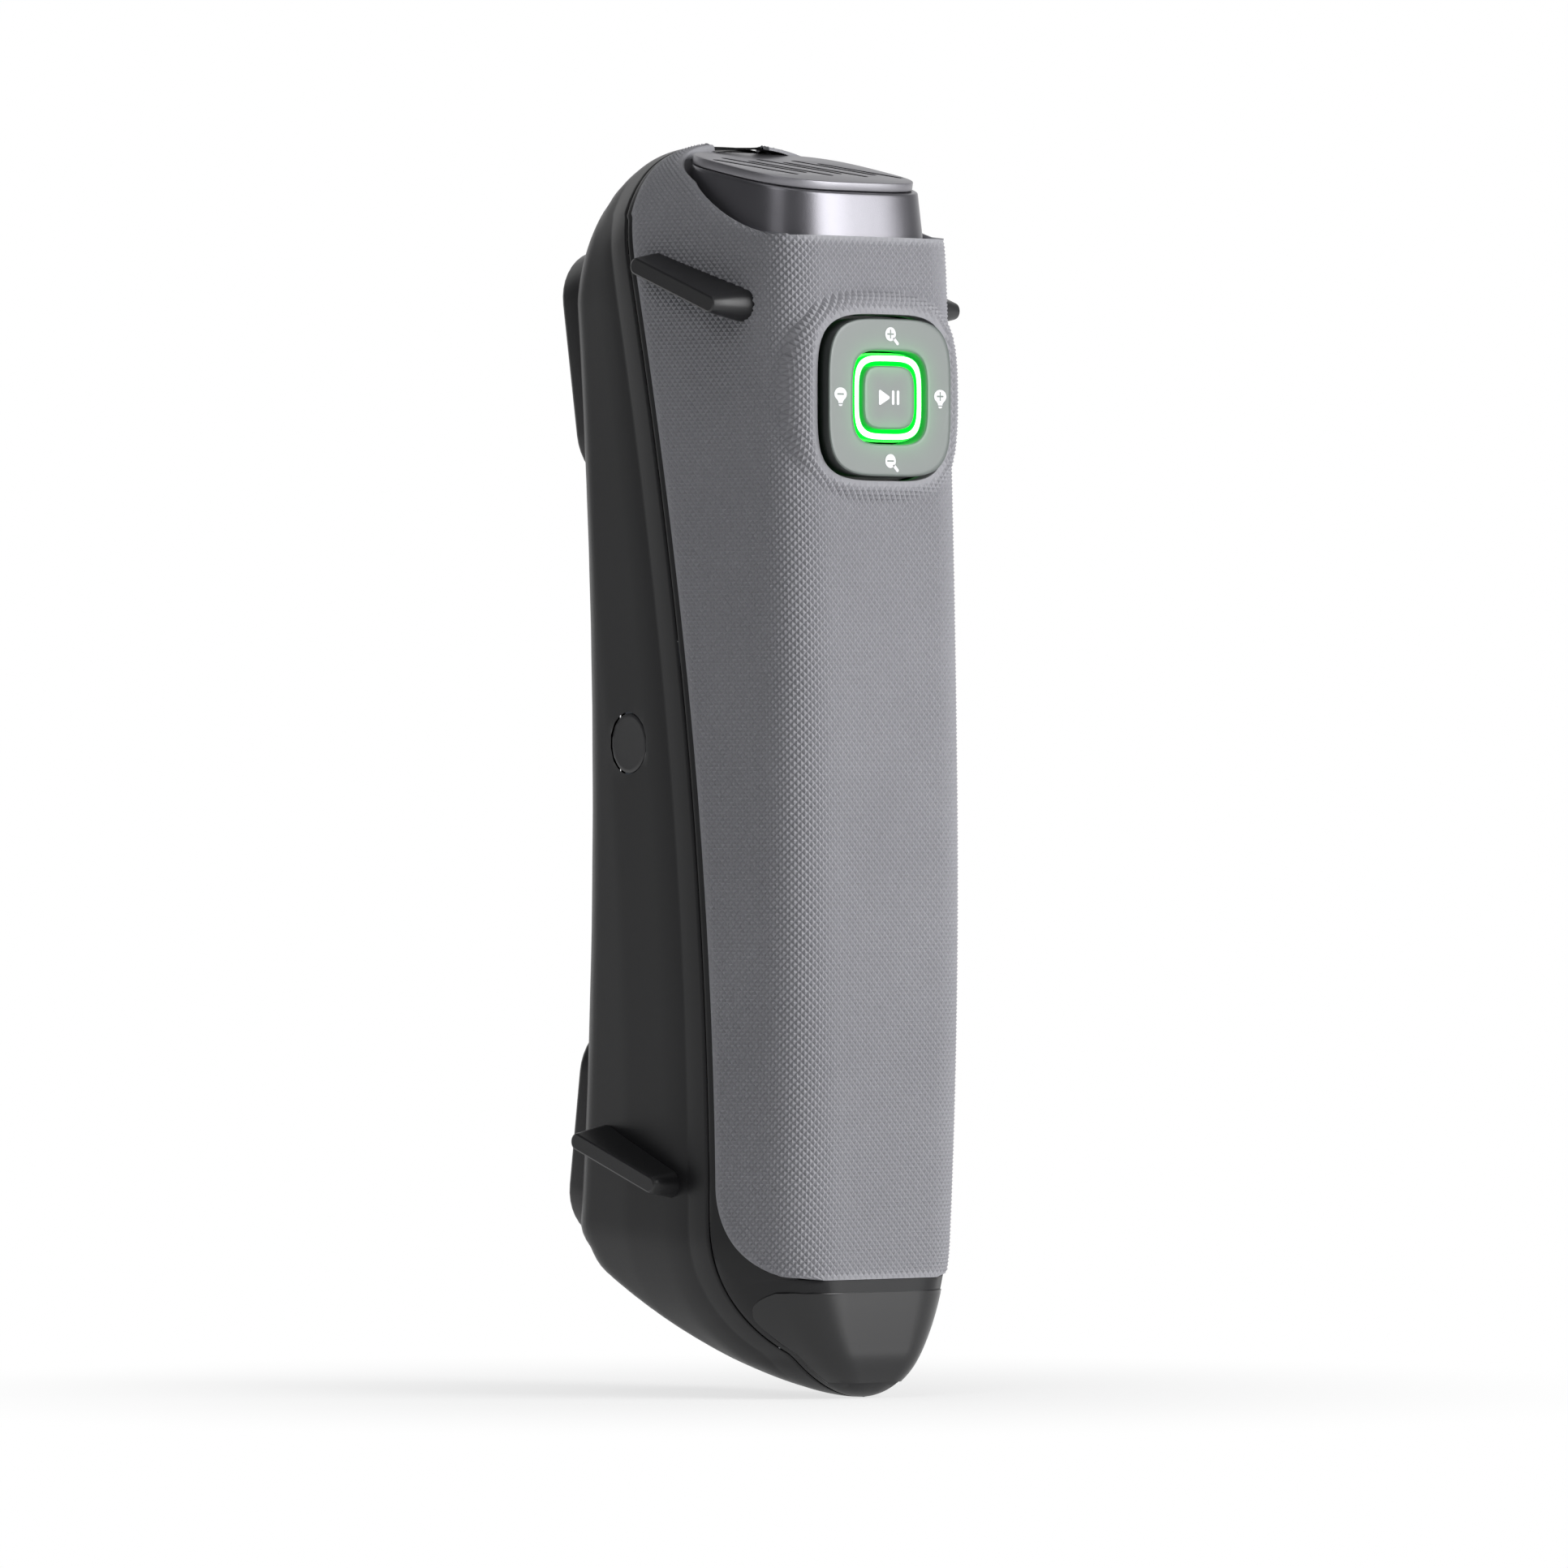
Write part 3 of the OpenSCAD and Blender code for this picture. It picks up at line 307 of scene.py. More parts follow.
def signInk():
    # pad-printed signs: matt off-white ink
    return grained("signInk", ("#dfe0e2", "#e4e5e7"), 0.55, 0.4, 0.1, {"IOR": 1.5})


innerFinishes = {
    # slot: material name, colours, roughness, grain in mm, grain height, shader settings
    "black_rubber": ("mouldedSilicone", ("#121213", "#161617"), 0.7, 0.5, 0.2, {"IOR": 1.43}),
    "brass": ("turnedBrass", ("#b08d3c", "#b99645"), 0.3, 0.4, 0.2, {"Metallic": 1.0}),
    "white_board": ("whiteSolderMask", ("#e4e4dd", "#eaeae3"), 0.45, 0.8, 0.2, {"IOR": 1.5}),
    "lens_metal": ("blackAnodisedAluminium", ("#1a1a1c", "#202022"), 0.35, 0.3, 0.3, {"Metallic": 0.6}),
    "lens_glass": ("coatedLensGlass", ("#27405c", "#2e4a68"), 0.04, 3.0, 0.02, {"IOR": 1.6, "Coat Weight": 0.6}),
    "green_board": ("greenSolderMask", ("#1a5230", "#1f5c37"), 0.42, 1.2, 0.3, {"IOR": 1.5}),
    "bench_metal": ("machinedAluminium", ("#a8aaac", "#b2b4b6"), 0.32, 0.4, 0.4, {"Metallic": 1.0}),
    "steel": ("zincPlatedSteel", ("#8a8c90", "#96989c"), 0.35, 0.5, 0.3, {"Metallic": 1.0}),
    "chip_black": ("epoxyMouldingCompound", ("#141415", "#19191a"), 0.55, 0.3, 0.3, {"IOR": 1.55}),
    "ribbon": ("polyimideRibbon", ("#bdb69f", "#c9c3b0"), 0.4, 1.0, 0.3, {"IOR": 1.6}),
    "white_nylon": ("naturalNylon", ("#d0d0c8", "#d8d8d2"), 0.45, 0.5, 0.2, {"IOR": 1.53}),
    "fan_plastic": ("blackPbt", ("#18181a", "#1e1e20"), 0.45, 0.4, 0.3, {"IOR": 1.55}),
    "socket_metal": ("nickelPlatedBrass", ("#96979b", "#9fa0a4"), 0.28, 0.4, 0.2, {"Metallic": 1.0}),
    "gold_pins": ("goldPlating", ("#c29f3c", "#cdac48"), 0.25, 0.4, 0.2, {"Metallic": 1.0}),
}
finishes = {
    "grip_elastomer": softTouchElastomer(),
    "black_abs": satinBlackAbs(),
    "label_bare": satinBlackLabel(),
    "foot_plastic": blackFootNylon(),
    "plug_plastic": grained("satinPlugAbs", ("#232325", "#29292b"), 0.32, 0.35, 0.3, {"IOR": 1.5}),
    "cap_metal": blastedAluminium(),
    "pad_plastic": padPolycarbonate(),
    "ring_light": glowMaterial("litDiffuser", "#00e02a", 1.6),
    "dark_window": smokedGlass(),
}
for slotName, settings in innerFinishes.items():
    finishes[slotName] = grained(*settings)
litPlateFinish = blastedPlateLitCopy()
slotShadeFinish = slotWallShade()
coreFinish = glowMaterial("litCore", "#e6ffe8", 1.5)
inkFinish = signInk()
# pad side wall: a green-black copy of the pad's finish, painted shade for the wall that faces away from the key lamp
padWallShade = grained("padWallPaintedShade", ("#0d1510", "#111a15"), 0.4, 0.6, 0.06, {"IOR": 1.58})

# ---- shape helpers; every length below is in millimetres until a piece is finished ----


def finishPiece(bm, name, slot, rides="body", stands=(), sharp=32, weld=1e-4, extra=(), keepNormals=False):
    # welds, turns the faces outwards, scales to metres, shades, and hangs the piece on its body
    bmesh.ops.remove_doubles(bm, verts=bm.verts, dist=weld)
    bmesh.ops.dissolve_degenerate(bm, edges=bm.edges, dist=1e-5)
    if not keepNormals:
        bmesh.ops.recalc_face_normals(bm, faces=bm.faces)
    bmesh.ops.scale(bm, vec=(mm, mm, mm), verts=bm.verts)
    mesh = bpy.data.meshes.new(name)
    bm.to_mesh(mesh)
    bm.free()
    mesh.shade_smooth()
    if sharp > 0:
        mesh.set_sharp_from_angle(angle=math.radians(sharp))
    else:
        mesh.shade_flat()
    piece = bpy.data.objects.new(name, mesh)
    bpy.context.scene.collection.objects.link(piece)
    mesh.materials.append(finishes[slot])
    for material in extra:
        mesh.materials.append(material)
    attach(piece, rides)
    if stands:
        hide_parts(*stands)
    return piece


def addGrid(bm, points, closed=False, keep=None, index=0):
    rows, cols = points.shape[:2]
    verts = [[bm.verts.new(points[r, c]) for c in range(cols)] for r in range(rows)]
    for r in range(rows - 1):
        for c in range(cols if closed else cols - 1):
            d = (c + 1) % cols
            if keep is None or keep(r, c):
                face = bm.faces.new((verts[r][c], verts[r][d], verts[r + 1][d], verts[r + 1][c]))
                face.material_index = index if not callable(index) else index(r, c)
    return verts


def mirrored(points):
    flipped = points.copy()
    flipped[..., 0] *= -1
    return flipped


def squircle(a, b, power=4.0, steps=96):
    t = np.linspace(0, 2 * np.pi, steps, endpoint=False)
    c, s = np.cos(t), np.sin(t)
    return np.stack([a * np.sign(c) * np.abs(c) ** (2 / power), b * np.sign(s) * np.abs(s) ** (2 / power)], 1)


def roundedRect(width, height, radius, steps=10):
    points = []
    for k, (sx, sy) in enumerate(((1, 1), (-1, 1), (-1, -1), (1, -1))):
        for i in range(steps + 1):
            a = math.radians(90 * (k + i / steps))
            points.append((sx * (width / 2 - radius) + radius * math.cos(a),
                           sy * (height / 2 - radius) + radius * math.sin(a)))
    return np.array(points)


def smooth(x):
    x = np.clip(x, 0, 1)
    return x * x * (3 - 2 * x)


# ---- the body's outline, level by level ----
form = {
    "high": corners("front_shell")[1][2],
    "halfWidth": 31.3,
    "frontDepth": 31.8,
    "backDepth": 37.4,
    "frontHalf": 25.4,
    "backHalf": 23.6,
    "frontBow": 4.6,
    "endRound": 34,
    "bellyTop": 31,
    "bellyPower": 0.72,
    "heelTop": 10,
    "heelY": 30,
    "crownDrop": 20,
    "gripProud": 0.25,
    "lip": 2.3,
    "gripBottom": 25.5,
    "gripCorner": 20,
    "rimDrop": 21,
    "rimRise": 17,
    "rimBack": 31.5,
    "rimReach": 34.2,
}
padLow, padHigh = corners("rocker_pad")
pad = {
    "z": (padLow[2] + padHigh[2]) / 2,
    "halfWidth": padHigh[0],
    "halfHeight": (padHigh[2] - padLow[2]) / 2,
    "face": 39.4,
    "gap": 0.9,
    "round": 0.55,
}
shift = padHigh[1] - pad["face"]      # the whole object stands this far back, over its origin
high = form["high"]
footZ, waistZ, headZ = high / 6, high * 0.48, high - form["endRound"]


def bow(z, foot, waist, head):
    return (foot * (z - waistZ) * (z - headZ) / ((footZ - waistZ) * (footZ - headZ))
            + waist * (z - footZ) * (z - headZ) / ((waistZ - footZ) * (waistZ - headZ))
            + head * (z - footZ) * (z - waistZ) / ((headZ - footZ) * (headZ - waistZ)))


def endShare(z):
    r = form["endRound"]
    if z < r:
        return math.sqrt(max(0, 1 - (1 - z / r) ** 2))
    if z > headZ:
        return max(0, 1 - ((z - headZ) / r) ** 3) ** (1 / 3)
    return 1.0


def frontMid(z):
    depth, out = form["frontDepth"], form["frontBow"]
    return -bow(z, depth + 0.7 * out, depth, depth + 1.1 * out)


def frontY(z):
    top = form["bellyTop"]
    if z < top:
        return form["heelY"] + (frontMid(top) - form["heelY"]) * (max(z, 0) / top) ** form["bellyPower"]
    if z > headZ:
        fall = 1 - max(0, 1 - ((z - headZ) / form["endRound"]) ** 1.5) ** (2 / 3)
        return frontMid(headZ) + form["crownDrop"] * fall
    return frontMid(z)


def frontLine(z):
    # the profile with the corner above the belly rounded off
    near = max(0.0, 1 - abs(z - form["bellyTop"]) / 14)
    return float(np.mean([frontY(z + near * 8 * step) for step in np.linspace(-1, 1, 9)]))


def backMid(z):
    depth = form["backDepth"]
    return bow(z, depth - 0.3, depth, depth - 2.9)


def backY(z):
    heel = form["heelTop"]
    if z < heel:
        return form["heelY"] + (backMid(heel) - form["heelY"]) * math.sqrt(max(0, 1 - (1 - z / heel) ** 2))
    return backMid(min(z, high - 10))


def wideX(z):
    return form["halfWidth"] + bow(z, 0.1, 0, -0.5)


def rearX(z):
    return form["backHalf"] - (4.5 * ((waistZ - z) / waistZ) ** 2 if z < waistZ else 0)


def seamY(z):
    # side view of the seam: a long rise to the waist, then a round turn under the heel
    low = form["bellyTop"] + 8
    if z < low:
        s = min(1.0, (low - z) / 34)
        a = math.asin(s)
        if a < math.radians(60):
            return 14 + 24 * (1 - math.cos(a))
        turnZ = low - 34 * math.sin(math.radians(60))
        return 26 + 8 * (turnZ - z) / (turnZ + 10)
    t = min(1.0, (high - z) / (high - low - 2))
    if z > high - 16:
        return -15.5
    return -15.5 + 29.5 * math.sin(math.radians(90 * (max(0, t - 0.06) / 0.94) ** 0.94))


def roundCorner(a, v, b, reach, steps=12):
    a, v, b = (np.array(p, float) for p in (a, v, b))
    la, lb = np.linalg.norm(a - v), np.linalg.norm(b - v)
    p = v + (a - v) * min(reach, la * 0.48) / max(la, 1e-9)
    q = v + (b - v) * min(reach, lb * 0.48) / max(lb, 1e-9)
    s = np.linspace(0, 1, steps + 1)[:, None]
    return p * (1 - s) ** 2 + v * 2 * s * (1 - s) + q * s ** 2


class Level:
    # half of the outline at one height, from the middle of the front to the middle of the back
    def __init__(self, height, grow=0.0):
        z = min(max((height + grow) * high / (high + 2 * grow), 0), high)
        w = endShare(z)
        yf = frontLine(z) - grow
        yb = max(backY(z) + grow, yf + 1)
        xf = max(0.0, form["frontHalf"] * w + grow)
        xm = max(0.0, wideX(z) * w + grow)
        xb = max(0.0, rearX(z) * w + grow)
        ym = min(max(min(seamY(max(z, form["bellyTop"])), 14), yf + 0.3 * (yb - yf)), yb - 0.3 * (yb - yf))
        points = [np.array([[0, yf]])]
        points.append(roundCorner((0, yf), (xf, yf), (xm, ym), 5 * w + 0.5))
        points.append(roundCorner((xf, yf), (xm, ym), (xb, yb), 14 * w + 0.5))
        points.append(roundCorner((xm, ym), (xb, yb), (0, yb), 8.5 * w + 0.5))
        points.append(np.array([[0, yb]]))
        self.points = np.concatenate(points)
        steps = np.linalg.norm(np.diff(self.points, axis=0), axis=1) + 1e-9
        self.along = np.concatenate([[0], np.cumsum(steps)])
        self.height = height

    def shareAt(self, y):
        # how far along the outline it passes a depth
        return float(np.interp(y, np.maximum.accumulate(self.points[:, 1]) + self.along * 1e-7, self.along))

    def at(self, along):
        x = np.interp(along, self.along, self.points[:, 0])
        y = np.interp(along, self.along, self.points[:, 1])
        return np.stack([x, y + shift, np.full(np.shape(along), self.height)], -1)

    @property
    def length(self):
        return self.along[-1]


def cosineHeights(count, low=0.0, top=None):
    top = high if top is None else top
    return low + (top - low) * (1 - np.cos(np.pi * np.arange(count + 1) / count)) / 2


def gripEdgeY(z):
    base = form["gripBottom"] + form["gripCorner"]
    if z >= base:
        return seamY(z) + form["lip"]
    s = min(1.0, (base - z) / form["gripCorner"])
    return seamY(base) + form["lip"] + form["gripCorner"] * (1 - math.sqrt(max(0, 1 - s * s)))


def rimY(z):
    t = max(0.0, (z - (high - form["rimDrop"])) / form["rimRise"])
    return form["rimBack"] - form["rimReach"] * t ** (1 / 1.8)


def openBoundary(bm, test):
    return [e for e in bm.edges if len(e.link_faces) == 1 and test((e.verts[0].co + e.verts[1].co) / 2)]


def turnIn(bm, edges, move):
    # carries an open edge on to a new row of points: move takes and gives a point
    made = bmesh.ops.extrude_edge_only(bm, edges=edges)["geom"]
    for v in made:
        if isinstance(v, bmesh.types.BMVert):
            v.co = move(v.co.copy(), v)
    return [e for e in made if isinstance(e, bmesh.types.BMEdge)
            and len(e.link_faces) == 1]


def cutOut(bm, distance, reach):
    # opens a hole: distance is positive outside it; the nearest points are drawn on to its line
    inside = [f for f in bm.faces if all(distance(v.co) < reach for v in f.verts)]
    bmesh.ops.delete(bm, geom=inside, context="FACES")
    rim = [e for e in bm.edges if len(e.link_faces) == 1 and max(distance(v.co) for v in e.verts) < reach * 2.4]
    for v in {v for e in rim for v in e.verts}:
        for step in range(4):
            d, h = distance(v.co), 0.01
            slope = Vector([(distance(v.co + Vector(u) * h) - d) / h for u in ((1, 0, 0), (0, 1, 0), (0, 0, 1))])
            if slope.length > 1e-6:
                v.co -= slope * (d / slope.length_squared)
    bmesh.ops.delete(bm, geom=[v for v in bm.verts if not v.link_faces], context="VERTS")
    return rim


def solidify(piece, thickness):
    wall = piece.modifiers.new("wall", "SOLIDIFY")
    wall.thickness = thickness * mm
    wall.offset = -1


# ---- shells ----
print("stage: shells")
shell = {
    "rows": 190,
    "wall": 2.0,
    "seamGap": 0.14,        # half the visible line between the shells
    "bandWidth": 7.0,       # flared band ahead of the seam
    "bandDepth": 0.85,      # how far its front edge is set in
    "bandFade": 22.0,
}
plug = {"y": -14.5, "z": high * 0.52, "radius": 6.5, "gap": 0.22}
pods = {
    "upper": {"z": high - 48.5, "height": 53, "out": 7.4, "tilt": 9.2},
    "lower": {"z": 57, "height": 49, "out": 5.8, "tilt": -7.8},
    "width": 48,
    "corner": 12,
    "window": 4,
    "sill": 1.75,
}
window = {"width": 30, "height": 66, "corner": 5, "gap": 0.15}


def podMatrix(which):
    # a pod's own frame: z out of the face
    own = pods[which]
    place = Matrix.Translation((0, shift - form["frontDepth"] - own["out"], own["z"]))
    return place @ Matrix.Rotation(math.radians(90 + own["tilt"]), 4, "X")


def insideRect(x, y, width, height, corner):
    # signed distance to a rounded rectangle
    qx = abs(x) - width / 2 + corner
    qy = abs(y) - height / 2 + corner
    outer = math.hypot(max(qx, 0), max(qy, 0))
    return outer + min(max(qx, qy), 0) - corner


def frontRow(z):
    level = Level(z)
    end = level.shareAt(seamY(z) - shell["seamGap"])
    k = min(1.0, end / 30)
    last = np.array([14, 11, 9, 7.5, 7.0, 6.5, 5, 3.4, 2, 1, 0.45, 0.15, 0]) * k
    start = max(end - last[0], 0)
    along = np.concatenate([np.linspace(0, start, 36)[:-1], end - last])
    points = level.at(along)
    away = end - along
    deep = np.where(away < shell["bandWidth"], away / shell["bandWidth"],
                    np.clip(1 - (away - shell["bandWidth"]) / shell["bandFade"], 0, 1)) * shell["bandDepth"] * k
    deep += 0.3 * k * np.clip(1 - away / 0.4, 0, 1) ** 2
    points[:, 0] = np.maximum(points[:, 0] - deep, 0)
    return points


def plugDistance(p):
    return math.hypot(p.y - plug["y"] - shift, p.z - plug["z"]) - plug["radius"] - plug["gap"] if abs(p.x) > 15 else 99


def windowDistance(p):
    gap = window["gap"]
    if p.y > -20:
        return 99
    return insideRect(p.x, p.z - waistZ, window["width"] + 2 * gap, window["height"] + 2 * gap, window["corner"])


def makeFrontShell():
    bm = bmesh.new()
    rows = np.array([frontRow(z) for z in cosineHeights(shell["rows"])])
    full = np.concatenate([mirrored(rows)[:, ::-1], rows[:, 1:]], axis=1)
    addGrid(bm, full)
    bmesh.ops.remove_doubles(bm, verts=bm.verts, dist=1e-4)
    bmesh.ops.recalc_face_normals(bm, faces=bm.faces)
    for which in ("upper", "lower"):
        back = podMatrix(which).inverted()
        own = pods[which]
        hidden = []
        for f in bm.faces:
            p = back @ f.calc_center_median()
            if abs(p.z) < 20 and insideRect(p.x, p.y, pods["width"] - 6, own["height"] - 6, pods["corner"] - 3) < 0:
                hidden.append(f)
        bmesh.ops.delete(bm, geom=hidden, context="FACES")
    cutOut(bm, windowDistance, 0.35)
    for side in (-1, 1):
        cutOut(bm, lambda p: plugDistance(p) if p.x * side > 0 else 99, 0.35)
    cutOut(bm, socketDistance, 0.35)
    for which in ("upper", "lower"):
        addPod(bm, which)
    piece = finishPiece(bm, "front_cover", "black_abs", stands=("front_shell",), sharp=28)
    return piece


def socketDistance(p):
    axis = socket["axis"]
    away = p - socket["centre"]
    if away.dot(axis) < -6:
        return 99
    flat = away - axis * away.dot(axis)
    return flat.length - socket["radius"]


slope = math.radians(27.18)
socket = {
    "centre": Vector((0, shift - 6, 13.31)),
    "axis": Vector((0, -math.sin(slope), -math.cos(slope))),
    "radius": 8.75,
}


def addPod(bm, which):
    # raised camera pod: drafted side, rounded edge, a sill for the window and a floor behind it
    own = pods[which]
    profile = [(0.7, -16), (0.25, -5), (0, -1.5), (-0.08, -1.0), (-0.35, -0.5), (-0.75, -0.18), (-1.25, -0.03),
               (-1.7, 0), (-3.8, 0), (-3.95, -0.12), (-4, -0.3), (-4, -pods["sill"]), (-7, -pods["sill"]),
               (-7, -3.1), (-2.6, -3.1), (-2.6, -11)]
    rings = []
    place = podMatrix(which)
    for grow, depth in profile:
        outline = roundedRect(pods["width"] + 2 * grow, own["height"] + 2 * grow, pods["corner"] + grow)
        rings.append([list(place @ Vector((x, y, depth))) for x, y in outline])
    addGrid(bm, np.array(rings), closed=True)


def makeBackShell():
    bm = bmesh.new()
    bottom = form["gripBottom"]
    heights = cosineHeights(shell["rows"], top=high - 0.5)
    heights = np.sort(np.concatenate([heights, [bottom - 0.1, bottom + 0.25]]))
    rows = []
    for z in heights:
        level = Level(z)
        start = level.shareAt(seamY(z) + shell["seamGap"])
        edge = level.shareAt(gripEdgeY(max(z, bottom)))
        edge = max(edge, start + 0.1)
        stop = level.length if z < high - form["rimDrop"] - 2 else min(edge + 4, level.length)
        first = start + (edge - start) * np.array([0, 0.06, 0.2, 0.45, 0.75, 0.94, 1.0])
        rest = edge + (stop - edge) * np.concatenate([[0.004], np.linspace(0.05, 1, 26)])
        along = np.concatenate([first, rest])
        points = level.at(along)
        under = (along > edge + 1e-6) & (z > bottom)
        lower = Level(z, -1.1).at(along * Level(z, -1.1).length / level.length)
        points[under] = lower[under]
        points[:, 0] -= 0.3 * np.clip(1 - (along - start) / 0.4, 0, 1) ** 2
        points[:, 0] = np.maximum(points[:, 0], 0)
        rows.append(points)
    rows = np.array(rows)
    jump = int(np.argmax(heights >= high - form["rimDrop"] - 2)) - 1
    for side in (rows, mirrored(rows)):
        addGrid(bm, side, keep=lambda r, c: r != jump or c < 6)
    cutOut(bm, wellDistance, 0.4)
    return finishPiece(bm, "back_cover", "black_abs", stands=("back_shell",), sharp=28)


def wellDistance(p):
    if p.y < 20 or p.z > high - 22:
        return 99
    return squircleDistance(p.x, p.z - pad["z"], pad["halfWidth"] + pad["gap"], pad["halfHeight"] + pad["gap"])


def squircleDistance(x, z, a, b, power=4.0):
    far = math.hypot(x, z)
    f = (abs(x / a) ** power + abs(z / b) ** power) ** (1 / power)
    return far * (1 - 1 / f) if f > 1e-6 else -min(a, b)


cap = {
    "halfWide": 22,
    "halfDeep": 19.3,
    "power": 3.4,
    "y": 11.2 + shift,
    "drop": 5.4,
    "plate": 2.0,
    "tilt": math.radians(11.5),
    "flare": 2.6,
    "foot": high - 25,
    "inset": 0.6,
    "gap": 0.9,
    "opening": 2.2,         # from the collar to the rolled edge of the grip, in front
}


def capGrow(z):
    # how much wider the collar is than the plate at a height
    t = (z - cap["foot"]) / 27
    return cap["flare"] * (1 - t) - cap["inset"]


# ---- grip ----
print("stage: grip")
grip = {
    "pitchAcross": 0.775,   # half a pyramid's width
    "pitchUp": 0.825,       # half a pyramid's height
    "tall": 0.46,
    "fade": 1.8,
    "moundWide": 5.4,
    "moundHigh": 5.6,
    "moundTop": 37.95,
    "moundSag": 1.1,        # the crest is lower beside the pad than above it
    "edge": 1.0,
}


def moundLift(x, z, y):
    # the raised surround of the pad: a rounded ridge that falls to the surface, softened where they meet
    d = squircleDistance(x, z - pad["z"], pad["halfWidth"] + pad["gap"], pad["halfHeight"] + pad["gap"])
    if d > grip["moundWide"] or y < 15 + shift:
        return y
    t = min(1.0, max(0.0, (d - 1.2) / (grip["moundWide"] - 1.2)))
    crest = grip["moundTop"] - grip["moundSag"] * min(1.0, abs(x) / pad["halfWidth"]) ** 2
    top = crest + shift - grip["moundHigh"] * (1 - math.sqrt(max(0, 1 - t * t)))
    soft = 0.9
    if top - y > soft:
        return top
    if top - y < -soft:
        return y
    u = (top - y + soft) / (2 * soft)
    return y + soft * u * u


def gripRowHeights():
    # rows lie at equal steps along the flank, so that they bunch up over the crown
    z = form["gripBottom"] + (high - form["gripBottom"]) * np.sin(np.linspace(0, np.pi / 2, 4000))
    x = np.array([wideX(v) * endShare(min(v, high)) for v in z])
    steps = np.hypot(np.diff(z), np.diff(x))
    along = np.concatenate([[0], np.cumsum(steps)])
    rimLevel = high - form["rimDrop"]
    split = np.interp(rimLevel, z, along)
    below = int(round(split / grip["pitchUp"]))
    above = int(round((along[-1] - split) / grip["pitchUp"]))
    marks = np.concatenate([np.linspace(0, split, below + 1), np.linspace(split, along[-1], above + 1)[1:]])
    return np.interp(marks, along, z), below


def rimShare(level, z):
    # going back from the lip, the first place that the cap's opening cuts off
    start = level.shareAt(gripEdgeY(z))
    along = np.linspace(start, level.length, 500)
    points = level.at(along)
    a = cap["halfWide"] + capGrow(z) + cap["opening"]
    b = cap["halfDeep"] + capGrow(z) + cap["opening"]
    f = (points[:, 0] / a) ** cap["power"] + np.abs((points[:, 1] - cap["y"]) / b) ** cap["power"]
    cut = (points[:, 1] - shift > rimY(z)) | ((f < 1) & (points[:, 1] < cap["y"]))
    return float(along[int(np.argmax(cut))]) if cut.any() else level.length


